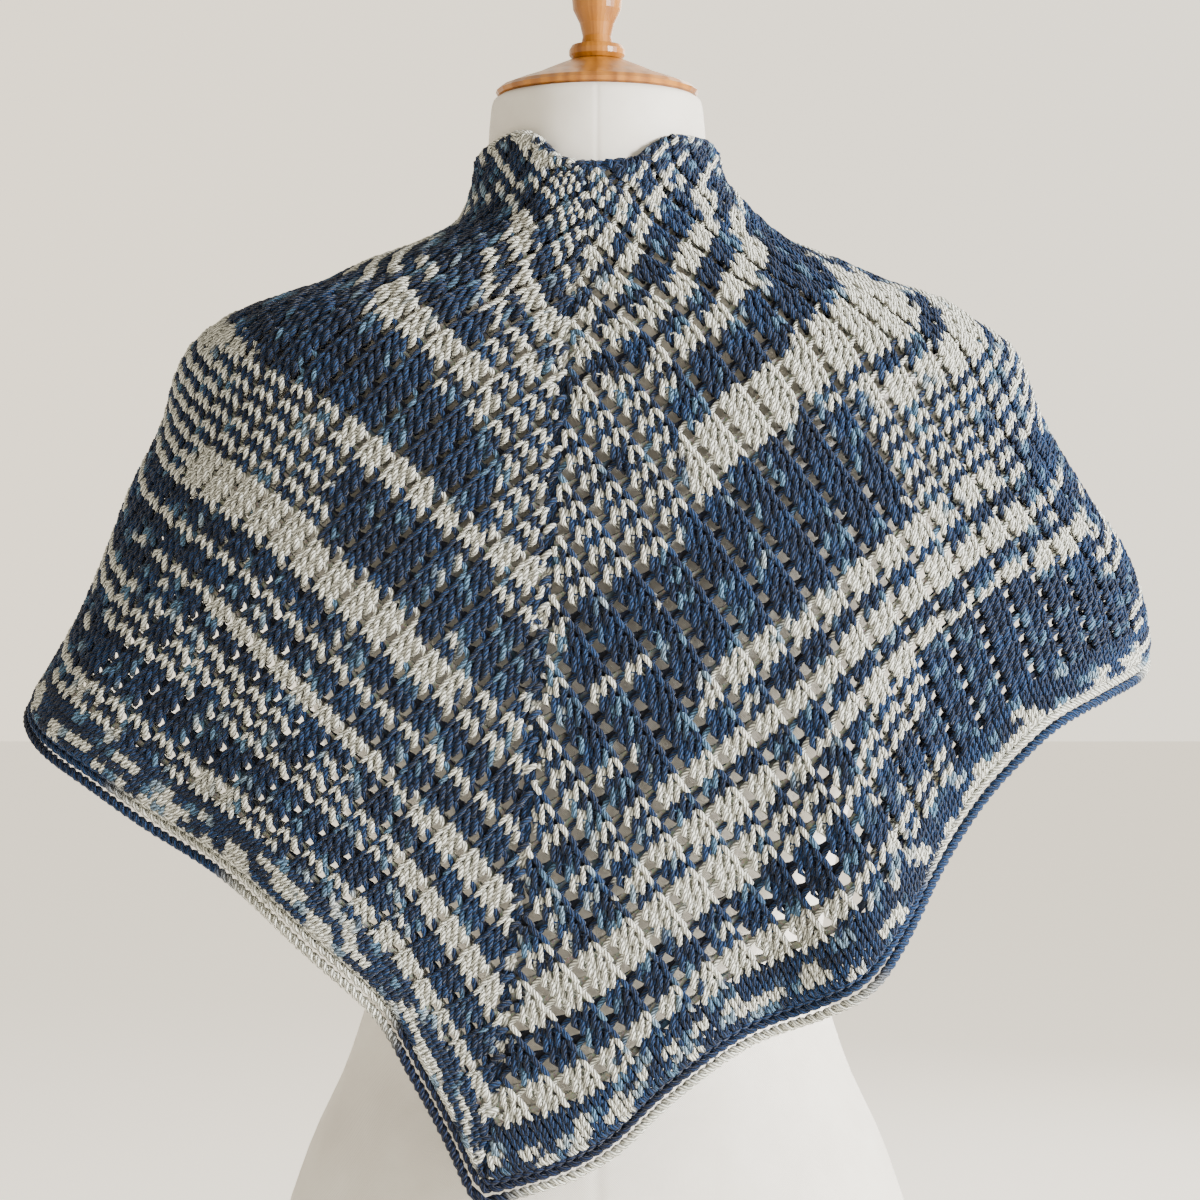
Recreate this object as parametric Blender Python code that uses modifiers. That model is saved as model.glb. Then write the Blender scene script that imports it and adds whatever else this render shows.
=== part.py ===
"""Triangle shawl, hand-knitted in an open mesh, worn on a tabletop dress form.

Metres, +Z up. The origin is the centre of the base's underside. The back of the
shawl faces -Y, and +X is the right-hand side of someone looking at that back.
A place on the cloth is given by its turn and its drop: the turn goes round the
figure in degrees of girth, 0 at the centre back, +90 at the right side, -90 at
the left side and 180 at the centre front; the drop is how far the place lies
below the middle of the neck edge.
"""
import math

import bpy
import numpy as np

# Heights above the surface that the form stands on
NECK_EDGE_HEIGHT = 0.860
TORSO_BOTTOM_DROP = 0.622
BASE_THICKNESS = 0.022
POLE_RADIUS = 0.0125

# Cloth
WALL = 0.0040
SEAM_GAP = 0.0003
HEM_CORD_RADIUS = 0.0036
NECK_CORD_RADIUS = 0.0026
SPINE_HALF_WIDTH = 0.0045
CORD_CLEARANCE = 0.0013
SPINE_CLEARANCE = 0.0009
TAB_ROW = 0.022
TAB_END_ROW = 0.0465
FIRST_ROW = 0.052
LAP_LIFT = 0.0085
LAP_STARTS = 138.0
LAP_FULL = 163.0

# Grid of each piece
LEFT_COLUMNS = 32
RIGHT_COLUMNS = 42
HALF_ROWS = 22
SPINE_ROWS = 22
TAB_ROWS = 2
TAB_COLUMNS = 2
NECK_CORD_POINTS = 30
FORM_SEGMENTS = 40
TURNED_STEPS = 32

# Rings of the worn cloth, through the middle of its wall
RING_COLUMNS = ("drop", "left", "right", "back", "front", "squareness")
CLOTH_RINGS = (
    (-0.0300, 0.0575, 0.0575, 0.0570, 0.0560, 2.00),
    (0.0000, 0.0600, 0.0615, 0.0600, 0.0580, 2.00),
    (0.0130, 0.0630, 0.0715, 0.0635, 0.0600, 2.00),
    (0.0251, 0.0698, 0.0835, 0.0670, 0.0620, 2.00),
    (0.0355, 0.0884, 0.0974, 0.0705, 0.0645, 2.05),
    (0.0465, 0.1185, 0.1255, 0.0745, 0.0680, 2.10),
    (0.0565, 0.1395, 0.1485, 0.0785, 0.0720, 2.15),
    (0.0655, 0.1666, 0.1761, 0.0820, 0.0760, 2.20),
    (0.0733, 0.1856, 0.1870, 0.0850, 0.0800, 2.25),
    (0.0898, 0.2050, 0.2095, 0.0915, 0.0880, 2.30),
    (0.1029, 0.2110, 0.2150, 0.0960, 0.0940, 2.30),
    (0.1221, 0.2160, 0.2220, 0.1015, 0.1010, 2.30),
    (0.1620, 0.2346, 0.2450, 0.1095, 0.1110, 2.30),
    (0.1900, 0.2450, 0.2640, 0.1130, 0.1160, 2.30),
    (0.2190, 0.2570, 0.2740, 0.1160, 0.1190, 2.25),
    (0.2480, 0.2730, 0.2780, 0.1185, 0.1200, 2.20),
    (0.2720, 0.2870, 0.2825, 0.1200, 0.1200, 2.20),
    (0.3500, 0.3050, 0.2950, 0.1245, 0.1200, 2.20),
    (0.4300, 0.3150, 0.3050, 0.1280, 0.1200, 2.20),
    (0.5300, 0.3200, 0.3100, 0.1300, 0.1200, 2.20),
)

# Spine, from the neck edge to the point: share of the rows, turn, drop
SPINE_COLUMNS = ("row", "turn", "drop")
SPINE = (
    (0.00, -4.5, 0.000),
    (0.13, -5.4, 0.064),
    (0.25, -6.0, 0.122),
    (0.41, -7.0, 0.200),
    (0.61, -8.2, 0.300),
    (0.82, -10.6, 0.402),
    (1.00, -13.2, 0.491),
)

# Neck edge of each half, from the centre back to the wing tip
NECK_COLUMNS = ("row", "turn", "drop")
NECK_LEFT = (
    (0.00, 4.5, 0.000),
    (0.05, 17.0, -0.003),
    (0.12, 39.0, -0.018),
    (0.19, 63.0, -0.014),
    (0.25, 90.0, -0.008),
    (0.34, 108.0, 0.010),
    (0.45, 125.0, 0.032),
    (0.58, 142.0, 0.056),
    (0.72, 158.0, 0.080),
    (0.86, 175.0, 0.103),
    (1.00, 192.0, 0.125),
)
NECK_RIGHT = (
    (0.00, -4.5, 0.000),
    (0.07, 20.0, -0.003),
    (0.13, 42.0, -0.016),
    (0.19, 62.0, -0.016),
    (0.25, 90.0, -0.011),
    (0.34, 108.0, 0.008),
    (0.45, 125.0, 0.031),
    (0.58, 142.0, 0.056),
    (0.72, 158.0, 0.080),
    (0.86, 175.0, 0.103),
    (1.00, 192.0, 0.125),
)

# Hem of each half, from the point at the back to the wing tip
HEM_COLUMNS = ("turn", "drop")
HEM_LEFT = (
    (13.2, 0.491),
    (16.5, 0.462),
    (20.2, 0.435),
    (24.2, 0.408),
    (34.0, 0.373),
    (44.5, 0.342),
    (55.5, 0.320),
    (67.0, 0.295),
    (78.0, 0.276),
    (88.0, 0.260),
    (97.0, 0.241),
    (110.0, 0.214),
    (130.0, 0.184),
    (150.0, 0.160),
    (170.0, 0.140),
    (192.0, 0.125),
)
HEM_RIGHT = (
    (-13.2, 0.491),
    (-4.0, 0.480),
    (1.5, 0.468),
    (8.0, 0.444),
    (17.5, 0.418),
    (26.0, 0.404),
    (31.0, 0.393),
    (36.0, 0.371),
    (42.8, 0.335),
    (51.8, 0.295),
    (60.8, 0.269),
    (70.0, 0.257),
    (80.0, 0.248),
    (88.0, 0.238),
    (97.0, 0.215),
    (110.0, 0.188),
    (130.0, 0.166),
    (150.0, 0.150),
    (170.0, 0.137),
    (192.0, 0.125),
)

# Shape of the straighter rows higher up, drawn as if they ran at the hem
ROW_LEFT = (
    (13.2, 0.491),
    (24.0, 0.445),
    (44.5, 0.370),
    (67.0, 0.299),
    (85.0, 0.262),
    (97.0, 0.240),
    (110.0, 0.214),
    (130.0, 0.184),
    (160.0, 0.150),
    (192.0, 0.125),
)
ROW_RIGHT = (
    (-13.2, 0.491),
    (0.0, 0.451),
    (17.5, 0.401),
    (36.0, 0.346),
    (51.8, 0.303),
    (70.0, 0.264),
    (85.0, 0.240),
    (97.0, 0.216),
    (110.0, 0.190),
    (130.0, 0.167),
    (160.0, 0.143),
    (192.0, 0.125),
)
ROWS_BEND_FROM = 0.62

# Upright flutes: where, how wide and how deep each is, and the drops where it starts and is full
FLUTE_COLUMNS = ("turn", "spread", "height", "starts", "full")
FLUTES = (
    (32.0, 5.5, 0.015, 0.200, 0.380),
    (20.0, 5.0, -0.005, 0.260, 0.400),
    (46.0, 5.0, -0.004, 0.200, 0.320),
    (63.0, 6.5, 0.006, 0.180, 0.300),
    (-34.0, 6.5, 0.006, 0.260, 0.400),
    (-52.0, 5.5, -0.004, 0.200, 0.320),
    (-72.0, 6.5, 0.006, 0.160, 0.260),
    (104.0, 6.0, 0.005, 0.100, 0.200),
    (-107.0, 6.5, 0.006, 0.110, 0.210),
)

# Soft folds across the front, from the shoulder to the lap
SWAG_COLUMNS = ("turn_out", "drop_out", "turn_in", "drop_in", "spread", "height")
SWAGS = (
    (96.0, 0.060, 165.0, 0.108, 0.010, 0.004),
    (92.0, 0.115, 160.0, 0.128, 0.012, 0.005),
    (-94.0, 0.065, -168.0, 0.110, 0.011, 0.005),
    (-96.0, 0.135, -160.0, 0.132, 0.012, 0.004),
)

# Rings of the dress form
FORM_COLUMNS = ("drop", "half_width", "back", "front", "squareness")
FORM_RINGS = (
    (-0.0410, 0.0500, 0.0490, 0.0480, 2.00),
    (-0.0390, 0.0526, 0.0516, 0.0506, 2.00),
    (-0.0340, 0.0538, 0.0530, 0.0520, 2.00),
    (0.0000, 0.0564, 0.0562, 0.0544, 2.00),
    (0.0130, 0.0591, 0.0597, 0.0564, 2.00),
    (0.0272, 0.0671, 0.0633, 0.0585, 2.00),
    (0.0380, 0.0862, 0.0674, 0.0613, 2.05),
    (0.0490, 0.1165, 0.0717, 0.0652, 2.10),
    (0.0590, 0.1375, 0.0757, 0.0695, 2.15),
    (0.0680, 0.1635, 0.0793, 0.0735, 2.20),
    (0.0760, 0.1800, 0.0830, 0.0780, 2.25),
    (0.0880, 0.1920, 0.0870, 0.0830, 2.25),
    (0.1020, 0.1960, 0.0910, 0.0880, 2.25),
    (0.1220, 0.1930, 0.0950, 0.0940, 2.20),
    (0.1500, 0.1820, 0.0995, 0.1010, 2.20),
    (0.1900, 0.1660, 0.1020, 0.1090, 2.20),
    (0.2300, 0.1540, 0.1010, 0.1120, 2.15),
    (0.2800, 0.1400, 0.0960, 0.1060, 2.10),
    (0.3400, 0.1220, 0.0890, 0.0940, 2.10),
    (0.3950, 0.1130, 0.0860, 0.0880, 2.10),
    (0.4400, 0.1240, 0.0930, 0.0900, 2.10),
    (0.4900, 0.1460, 0.1080, 0.0960, 2.10),
    (0.5400, 0.1610, 0.1170, 0.1020, 2.10),
    (0.5900, 0.1660, 0.1180, 0.1050, 2.10),
    (0.6120, 0.1630, 0.1150, 0.1030, 2.10),
    (0.6200, 0.1590, 0.1110, 0.0990, 2.10),
    (0.6220, 0.1540, 0.1060, 0.0940, 2.10),
)

# Turned profiles, radius and height above the neck edge, from the top down
NECK_CAP_PROFILE = (
    (0.0000, 0.0600),
    (0.0150, 0.0598),
    (0.0230, 0.0565),
    (0.0320, 0.0525),
    (0.0420, 0.0490),
    (0.0490, 0.0462),
    (0.0515, 0.0440),
    (0.0505, 0.0420),
    (0.0480, 0.0413),
    (0.0000, 0.0413),
)
FINIAL_PROFILE = (
    (0.0000, 0.1420),
    (0.0060, 0.1414),
    (0.0115, 0.1390),
    (0.0160, 0.1345),
    (0.0185, 0.1285),
    (0.0188, 0.1220),
    (0.0172, 0.1150),
    (0.0140, 0.1070),
    (0.0132, 0.1030),
    (0.0150, 0.1000),
    (0.0150, 0.0965),
    (0.0130, 0.0935),
    (0.0122, 0.0860),
    (0.0088, 0.0790),
    (0.0073, 0.0725),
    (0.0080, 0.0690),
    (0.0128, 0.0678),
    (0.0142, 0.0655),
    (0.0142, 0.0628),
    (0.0125, 0.0608),
    (0.0110, 0.0603),
    (0.0000, 0.0603),
)
BASE_PROFILE = (
    (0.0000, 1.00),
    (0.0180, 1.00),
    (0.0300, 0.97),
    (0.1250, 0.72),
    (0.1360, 0.60),
    (0.1400, 0.42),
    (0.1400, 0.18),
    (0.1370, 0.00),
    (0.0000, 0.00),
)

# Fineness of the tables that the surface is read from
DROP_LEVELS = np.linspace(-0.030, 0.530, 281)
TURN_STEPS = 180
CURVE_SAMPLES = 400
INSET_SAMPLES = 80
INSET_REACH = 0.8
RING_SAMPLES = 91
NEIGHBOUR_TURN = 0.5
SWAG_END_SHARE = 0.25

COLOURS = {
    "cloth": (0.045, 0.105, 0.235),
    "edge": (0.62, 0.63, 0.60),
    "cover": (0.80, 0.78, 0.73),
    "wood": (0.60, 0.33, 0.13),
}


def column(columns, table, name):
    """One named column of a table, as an array."""
    return np.array([row[columns.index(name)] for row in table], dtype=float)


def smooth_between(places, values, at):
    """Smooth curve through a table's values that never swings past them."""
    at = np.clip(np.asarray(at, dtype=float), places[0], places[-1])
    steps = np.diff(places)
    rates = np.diff(values) / steps
    slopes = np.zeros(len(places))
    slopes[0] = rates[0]
    slopes[-1] = rates[-1]
    for index in range(1, len(places) - 1):
        before = rates[index - 1]
        after = rates[index]
        if before * after > 0.0:
            weight_before = 2.0 * steps[index] + steps[index - 1]
            weight_after = steps[index] + 2.0 * steps[index - 1]
            total = weight_before + weight_after
            slopes[index] = total / (weight_before / before + weight_after / after)
    span = np.clip(np.searchsorted(places, at, side="right") - 1, 0, len(steps) - 1)
    width = steps[span]
    t = (at - places[span]) / width
    start = values[span] * (1.0 + 2.0 * t) * (1.0 - t) ** 2
    end = values[span + 1] * t ** 2 * (3.0 - 2.0 * t)
    leaving = slopes[span] * width * t * (1.0 - t) ** 2
    arriving = slopes[span + 1] * width * t ** 2 * (t - 1.0)
    return start + end + leaving + arriving


def ease(value):
    """0 below 0, 1 above 1 and a smooth step between them."""
    value = np.clip(value, 0.0, 1.0)
    return value * value * (3.0 - 2.0 * value)


def half_ring(width, back, front, squareness):
    """Half of a ring at even steps of its girth, from the centre back to the centre front."""
    power = 2.0 / squareness
    angle = np.linspace(0.0, 0.5 * math.pi, RING_SAMPLES)
    rising = np.sin(angle) ** power
    falling = np.maximum(np.cos(angle), 0.0) ** power
    across = np.concatenate((width * rising, width * falling[1:]))
    deep = np.concatenate((-back * falling, front * rising[1:]))
    length = np.concatenate(([0.0], np.cumsum(np.hypot(np.diff(across), np.diff(deep)))))
    even = np.linspace(0.0, length[-1], TURN_STEPS + 1)
    return np.interp(even, length, across), np.interp(even, length, deep)


def ring_table(side):
    """The cloth's surface on one side as across and deep values, a row for each drop."""
    drops = column(RING_COLUMNS, CLOTH_RINGS, "drop")
    sizes = []
    for name in (side, "back", "front", "squareness"):
        sizes.append(smooth_between(drops, column(RING_COLUMNS, CLOTH_RINGS, name), DROP_LEVELS))
    rings = [half_ring(*size) for size in zip(*sizes)]
    return np.array([ring[0] for ring in rings]), np.array([ring[1] for ring in rings])


RING_TABLES = {"left": ring_table("left"), "right": ring_table("right")}


def read_table(table, turn, drop):
    """A value of a ring table between its rows and columns."""
    level = (np.clip(drop, DROP_LEVELS[0], DROP_LEVELS[-1]) - DROP_LEVELS[0])
    level = level / (DROP_LEVELS[1] - DROP_LEVELS[0])
    low = np.clip(np.floor(level).astype(int), 0, len(DROP_LEVELS) - 2)
    step = np.clip(turn, 0.0, 180.0) * TURN_STEPS / 180.0
    near = np.clip(np.floor(step).astype(int), 0, TURN_STEPS - 1)
    down = level - low
    along = step - near
    upper = table[low, near] * (1.0 - along) + table[low, near + 1] * along
    lower = table[low + 1, near] * (1.0 - along) + table[low + 1, near + 1] * along
    return upper * (1.0 - down) + lower * down


def bare_ring(turn, drop):
    """Across and deep of the cloth before its folds, at signed turns up to 200 either way."""
    past_front = np.abs(turn) > 180.0
    reach = np.where(past_front, 360.0 - np.abs(turn), np.abs(turn))
    on_right = np.where(past_front, turn < 0.0, turn >= 0.0)
    across_right = read_table(RING_TABLES["right"][0], reach, drop)
    across_left = -read_table(RING_TABLES["left"][0], reach, drop)
    deep_right = read_table(RING_TABLES["right"][1], reach, drop)
    deep_left = read_table(RING_TABLES["left"][1], reach, drop)
    return np.where(on_right, across_right, across_left), np.where(on_right, deep_right, deep_left)


def fold_height(turn, drop):
    """How far the folds move the cloth out from its ring."""
    height = np.zeros(np.broadcast(turn, drop).shape)
    for row in FLUTES:
        fold = dict(zip(FLUTE_COLUMNS, row))
        bump = np.exp(-0.5 * ((turn - fold["turn"]) / fold["spread"]) ** 2)
        grown = ease((drop - fold["starts"]) / (fold["full"] - fold["starts"]))
        height = height + fold["height"] * bump * grown
    for row in SWAGS:
        fold = dict(zip(SWAG_COLUMNS, row))
        along = (turn - fold["turn_out"]) / (fold["turn_in"] - fold["turn_out"])
        middle = fold["drop_out"] + (fold["drop_in"] - fold["drop_out"]) * along
        bump = np.exp(-0.5 * ((drop - middle) / fold["spread"]) ** 2)
        ends = ease(along / SWAG_END_SHARE) * ease((1.0 - along) / SWAG_END_SHARE)
        height = height + fold["height"] * bump * ends
    return height


def cloth_point(turn, drop, lapped):
    """Points on the worn cloth; the lapped half lies over the other one at the front."""
    turn, drop = np.broadcast_arrays(np.asarray(turn, float), np.asarray(drop, float))
    across, deep = bare_ring(turn, drop)
    next_across, next_deep = bare_ring(turn + NEIGHBOUR_TURN, drop)
    last_across, last_deep = bare_ring(turn - NEIGHBOUR_TURN, drop)
    run_across = next_across - last_across
    run_deep = next_deep - last_deep
    run = np.hypot(run_across, run_deep)
    out = fold_height(turn, drop)
    if lapped:
        out = out + LAP_LIFT * ease((turn - LAP_STARTS) / (LAP_FULL - LAP_STARTS))
    return np.stack((
        across + out * run_deep / run,
        deep - out * run_across / run,
        NECK_EDGE_HEIGHT - drop,
    ), axis=-1)


def even_along(turns, drops, lapped):
    """A curve on the cloth as turn and drop at even steps of its length."""
    corner = np.linspace(0.0, 1.0, len(turns))
    fine = np.linspace(0.0, 1.0, CURVE_SAMPLES)
    fine_turns = smooth_between(corner, turns, fine)
    fine_drops = smooth_between(corner, drops, fine)
    points = cloth_point(fine_turns, fine_drops, lapped)
    length = np.concatenate(([0.0], np.cumsum(np.linalg.norm(np.diff(points, axis=0), axis=1))))
    return length / length[-1], fine_turns, fine_drops


class Half:
    """One half of the shawl: rows run from the spine, along 0, to the neck edge, along 1."""

    def __init__(self, name):
        self.name = name
        self.sign = 1.0 if name == "right" else -1.0
        self.lapped = name == "right"
        hem = HEM_RIGHT if name == "right" else HEM_LEFT
        upper = ROW_RIGHT if name == "right" else ROW_LEFT
        self.hem_share, self.hem_shape = self.profile(hem)
        self.upper_share, self.upper_shape = self.profile(upper)
        neck = NECK_RIGHT if name == "right" else NECK_LEFT
        self.neck_rows = column(NECK_COLUMNS, neck, "row")
        self.neck_ends = (
            self.sign * column(NECK_COLUMNS, neck, "turn"),
            column(NECK_COLUMNS, neck, "drop"),
        )
        self.spine_rows = column(SPINE_COLUMNS, SPINE, "row")
        self.spine_ends = (
            column(SPINE_COLUMNS, SPINE, "turn"),
            column(SPINE_COLUMNS, SPINE, "drop"),
        )

    def profile(self, table):
        """Shape of a row: how much of its turn and drop is done at each share of its length."""
        turns = self.sign * column(HEM_COLUMNS, table, "turn")
        drops = column(HEM_COLUMNS, table, "drop")
        share, turns, drops = even_along(turns, drops, self.lapped)
        done = [(line - line[0]) / (line[-1] - line[0]) for line in (turns, drops)]
        return share, done

    def place(self, row, along):
        """Turn and drop of a stitch from its row, 0 to 1, and its share of that row."""
        bend = ease((row - ROWS_BEND_FROM) / (1.0 - ROWS_BEND_FROM))
        place = []
        for index in range(2):
            spine = smooth_between(self.spine_rows, self.spine_ends[index], row)
            neck = smooth_between(self.neck_rows, self.neck_ends[index], row)
            upper = np.interp(along, self.upper_share, self.upper_shape[index])
            hem = np.interp(along, self.hem_share, self.hem_shape[index])
            done = upper + (hem - upper) * bend
            place.append(spine + (neck - spine) * done)
        return place

    def point(self, row, along):
        """Point on the cloth from its row and its share of that row."""
        row, along = np.broadcast_arrays(np.asarray(row, float), np.asarray(along, float))
        turn, drop = self.place(row, along)
        return cloth_point(turn, drop, self.lapped)

    def edge_points(self, edge):
        """Closely spaced points along the spine, the hem or the neck edge."""
        share = np.linspace(0.0, 1.0, CURVE_SAMPLES)
        if edge == "spine":
            return self.point(share, 0.0)
        if edge == "neck":
            return self.point(share, 1.0)
        return self.point(1.0, share)

    def inset(self, edge, beside, distance):
        """Share of the way in from an edge, beside each place on it, where the distance is reached."""
        steps = np.linspace(0.0, 1.0, INSET_SAMPLES) ** 2 * INSET_REACH
        beside = np.asarray(beside, float)
        if edge == "spine":
            points = self.point(beside[..., None], steps)
        elif edge == "neck":
            points = self.point(beside[..., None], 1.0 - steps)
        else:
            points = self.point(1.0 - steps, beside[..., None])
        border = self.edge_points(edge)
        flat = points.reshape(-1, 3)
        nearest = np.full(len(flat), np.inf)
        for place in border:
            nearest = np.minimum(nearest, np.linalg.norm(flat - place, axis=1))
        nearest = nearest.reshape(-1, len(steps))
        found = [np.interp(distance, np.maximum.accumulate(line), steps) for line in nearest]
        return np.array(found).reshape(beside.shape)


def material(name):
    """A plain material in one of the part's colours."""
    made = bpy.data.materials.new(name)
    made.use_nodes = True
    shader = made.node_tree.nodes["Principled BSDF"]
    shader.inputs["Base Color"].default_value = (*COLOURS[name], 1.0)
    shader.inputs["Roughness"].default_value = 0.45 if name == "wood" else 0.85
    shader.inputs["Metallic"].default_value = 0.0
    return made


def add_object(name, data, surface, collection):
    """Put mesh or curve data in the collection with its material."""
    made = bpy.data.objects.new(name, data)
    data.materials.append(surface)
    collection.objects.link(made)
    return made


def grid_mesh(name, points, flip):
    """Open surface through a grid of points."""
    rows, columns = points.shape[:2]
    faces = []
    for row in range(rows - 1):
        for across in range(columns - 1):
            corner = row * columns + across
            face = (corner, corner + 1, corner + columns + 1, corner + columns)
            faces.append(face[::-1] if flip else face)
    mesh = bpy.data.meshes.new(name)
    mesh.from_pydata(points.reshape(-1, 3).tolist(), [], faces)
    mesh.shade_smooth()
    return mesh


def add_wall(made):
    """Give an open surface the thickness of the cloth, half on each side of it."""
    wall = made.modifiers.new("wall", "SOLIDIFY")
    wall.thickness = WALL
    wall.offset = 0.0
    return made


def point_row(half, distance):
    """Row on the spine that lies a given distance inside one half's hem."""
    return 1.0 - float(half.inset("hem", 0.0, distance))


def build_half(half, columns, surface, collection):
    """Mesh half: from the first row to the hem cord, and from the spine to the neck cord."""
    share = np.linspace(0.0, 1.0, columns + 1)
    last_row = 1.0 - half.inset("hem", share, 2.0 * HEM_CORD_RADIUS + CORD_CLEARANCE)
    depth = np.linspace(0.0, 1.0, HALF_ROWS + 1)[:, None]
    rows = FIRST_ROW + (last_row[None, :] - FIRST_ROW) * depth
    spine_side = half.inset("spine", rows, SPINE_HALF_WIDTH + SPINE_CLEARANCE)
    neck_side = 1.0 - half.inset("neck", rows, 2.0 * NECK_CORD_RADIUS + CORD_CLEARANCE)
    along = spine_side + (neck_side - spine_side) * share[None, :]
    points = half.point(rows, along)
    mesh = grid_mesh(half.name, points, flip=half.name == "right")
    return add_wall(add_object("shawl_" + half.name + "_half", mesh, surface, collection))


def build_spine(left, right, surface, collection):
    """Centre column of stitches between the two halves."""
    edge = 2.0 * HEM_CORD_RADIUS + CORD_CLEARANCE
    last_row = min(point_row(left, edge), point_row(right, edge))
    rows = np.linspace(FIRST_ROW, last_row, SPINE_ROWS + 1)
    on_left = left.point(rows, left.inset("spine", rows, SPINE_HALF_WIDTH))
    on_right = right.point(rows, right.inset("spine", rows, SPINE_HALF_WIDTH))
    middle = 0.5 * (left.point(rows, 0.0) + right.point(rows, 0.0))
    points = np.stack((on_left, middle, on_right), axis=1)
    mesh = grid_mesh("spine", points, flip=True)
    return add_wall(add_object("spine_column", mesh, surface, collection))


def build_tab(left, right, surface, collection):
    """Small tab at the nape that the two halves grow from."""
    rows = np.linspace(TAB_ROW, TAB_END_ROW, TAB_ROWS + 1)[:, None]
    share = np.linspace(0.0, 1.0, TAB_COLUMNS + 1)[None, :]
    edge = 2.0 * NECK_CORD_RADIUS + CORD_CLEARANCE
    sides = []
    for half in (left, right):
        end = 1.0 - half.inset("neck", rows, edge)
        sides.append(half.point(rows, end * share))
    middle = 0.5 * (sides[0][:, :1] + sides[1][:, :1])
    points = np.concatenate((sides[0][:, :0:-1], middle, sides[1][:, 1:]), axis=1)
    mesh = grid_mesh("tab", points, flip=True)
    return add_wall(add_object("neck_tab", mesh, surface, collection))


def build_cord(name, points, radius, surface, collection):
    """Round cord through a row of points, with closed ends."""
    curve = bpy.data.curves.new(name, "CURVE")
    curve.dimensions = "3D"
    curve.bevel_depth = radius
    curve.bevel_resolution = 2
    curve.use_fill_caps = True
    curve.resolution_u = 1
    spline = curve.splines.new("POLY")
    spline.points.add(len(points) - 1)
    for slot, place in zip(spline.points, points):
        slot.co = (*place, 1.0)
    return add_object(name, curve, surface, collection)


def hem_points(half, columns):
    """Middle of the hem cord of one half, from beside the point to the wing tip."""
    share = np.linspace(0.0, 1.0, columns + 1)[1:]
    rows = 1.0 - half.inset("hem", share, HEM_CORD_RADIUS)
    return half.point(rows, share)


def neck_points(half):
    """Middle of the neck cord of one half, from the centre back to the wing."""
    apart = 2.0 * (HEM_CORD_RADIUS + NECK_CORD_RADIUS) + CORD_CLEARANCE
    last = 1.0 - float(half.inset("hem", 1.0, apart))
    rows = np.linspace(0.0, 1.0, NECK_CORD_POINTS + 1)[1:] * last
    along = 1.0 - half.inset("neck", rows, NECK_CORD_RADIUS)
    return half.point(rows, along)


def build_form(surface, collection):
    """Smooth limbless torso with its neck, lofted through rings."""
    drops = column(FORM_COLUMNS, FORM_RINGS, "drop")
    rings = []
    for index, drop in enumerate(drops):
        width, back, front, squareness = FORM_RINGS[index][1:]
        across, deep = half_ring(width, back, front, squareness)
        places = np.linspace(0.0, TURN_STEPS, FORM_SEGMENTS // 2 + 1).astype(int)
        right = [(across[place], deep[place]) for place in places]
        left = [(-across[place], deep[place]) for place in places[-2:0:-1]]
        height = NECK_EDGE_HEIGHT - drop
        rings.append([(x, y, height) for x, y in right + left])
    count = len(rings[0])
    faces = [tuple(range(count))]
    for level in range(len(rings) - 1):
        for step in range(count):
            near = level * count
            ahead = (step + 1) % count
            faces.append((near + step, near + count + step, near + count + ahead, near + ahead))
    faces.append(tuple(reversed(range(count * (len(rings) - 1), count * len(rings)))))
    mesh = bpy.data.meshes.new("torso")
    mesh.from_pydata([point for ring in rings for point in ring], [], faces)
    mesh.shade_smooth()
    return add_object("form_torso", mesh, surface, collection)


def build_turned(name, profile, bottom, surface, collection):
    """Body of revolution from a profile that runs from its top to its bottom."""
    mesh = bpy.data.meshes.new(name)
    points = [(radius, 0.0, bottom + height) for radius, height in profile]
    edges = [(index, index + 1) for index in range(len(points) - 1)]
    mesh.from_pydata(points, edges, [])
    made = add_object(name, mesh, surface, collection)
    screw = made.modifiers.new("turn", "SCREW")
    screw.steps = TURNED_STEPS
    screw.render_steps = TURNED_STEPS
    screw.use_merge_vertices = True
    screw.merge_threshold = 0.00001
    screw.use_smooth_shade = True
    return made


def main():
    """Build the shawl, the dress form and its stand."""
    for old in list(bpy.data.objects):
        bpy.data.objects.remove(old, do_unlink=True)
    collection = bpy.data.collections.new("triangle_shawl_on_dress_form")
    bpy.context.scene.collection.children.link(collection)
    cloth = material("cloth")
    edge = material("edge")
    cover = material("cover")
    wood = material("wood")

    left = Half("left")
    right = Half("right")
    build_half(left, LEFT_COLUMNS, cloth, collection)
    build_half(right, RIGHT_COLUMNS, cloth, collection)
    build_tab(left, right, cloth, collection)
    build_spine(left, right, cloth, collection)
    on_left = hem_points(left, LEFT_COLUMNS)
    on_right = hem_points(right, RIGHT_COLUMNS)
    corner_row = min(point_row(left, HEM_CORD_RADIUS), point_row(right, HEM_CORD_RADIUS))
    corner = right.point(corner_row, 0.0)[None, :]
    hem = np.concatenate((on_left[::-1], corner, on_right))
    build_cord("bind_off_edge", hem, HEM_CORD_RADIUS, edge, collection)
    neck = np.concatenate((neck_points(left)[::-1], neck_points(right)))
    build_cord("neck_edge", neck, NECK_CORD_RADIUS, edge, collection)

    build_form(cover, collection)
    build_turned("neck_cap", NECK_CAP_PROFILE, NECK_EDGE_HEIGHT, wood, collection)
    build_turned("finial", FINIAL_PROFILE, NECK_EDGE_HEIGHT, wood, collection)
    base = [(radius, share * BASE_THICKNESS) for radius, share in BASE_PROFILE]
    build_turned("base", base, 0.0, wood, collection)
    pole_low = BASE_THICKNESS + SEAM_GAP
    pole_high = NECK_EDGE_HEIGHT - TORSO_BOTTOM_DROP - SEAM_GAP
    pole = [(0.0, pole_high), (POLE_RADIUS, pole_high), (POLE_RADIUS, pole_low), (0.0, pole_low)]
    build_turned("pole", pole, 0.0, wood, collection)


main()
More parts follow.
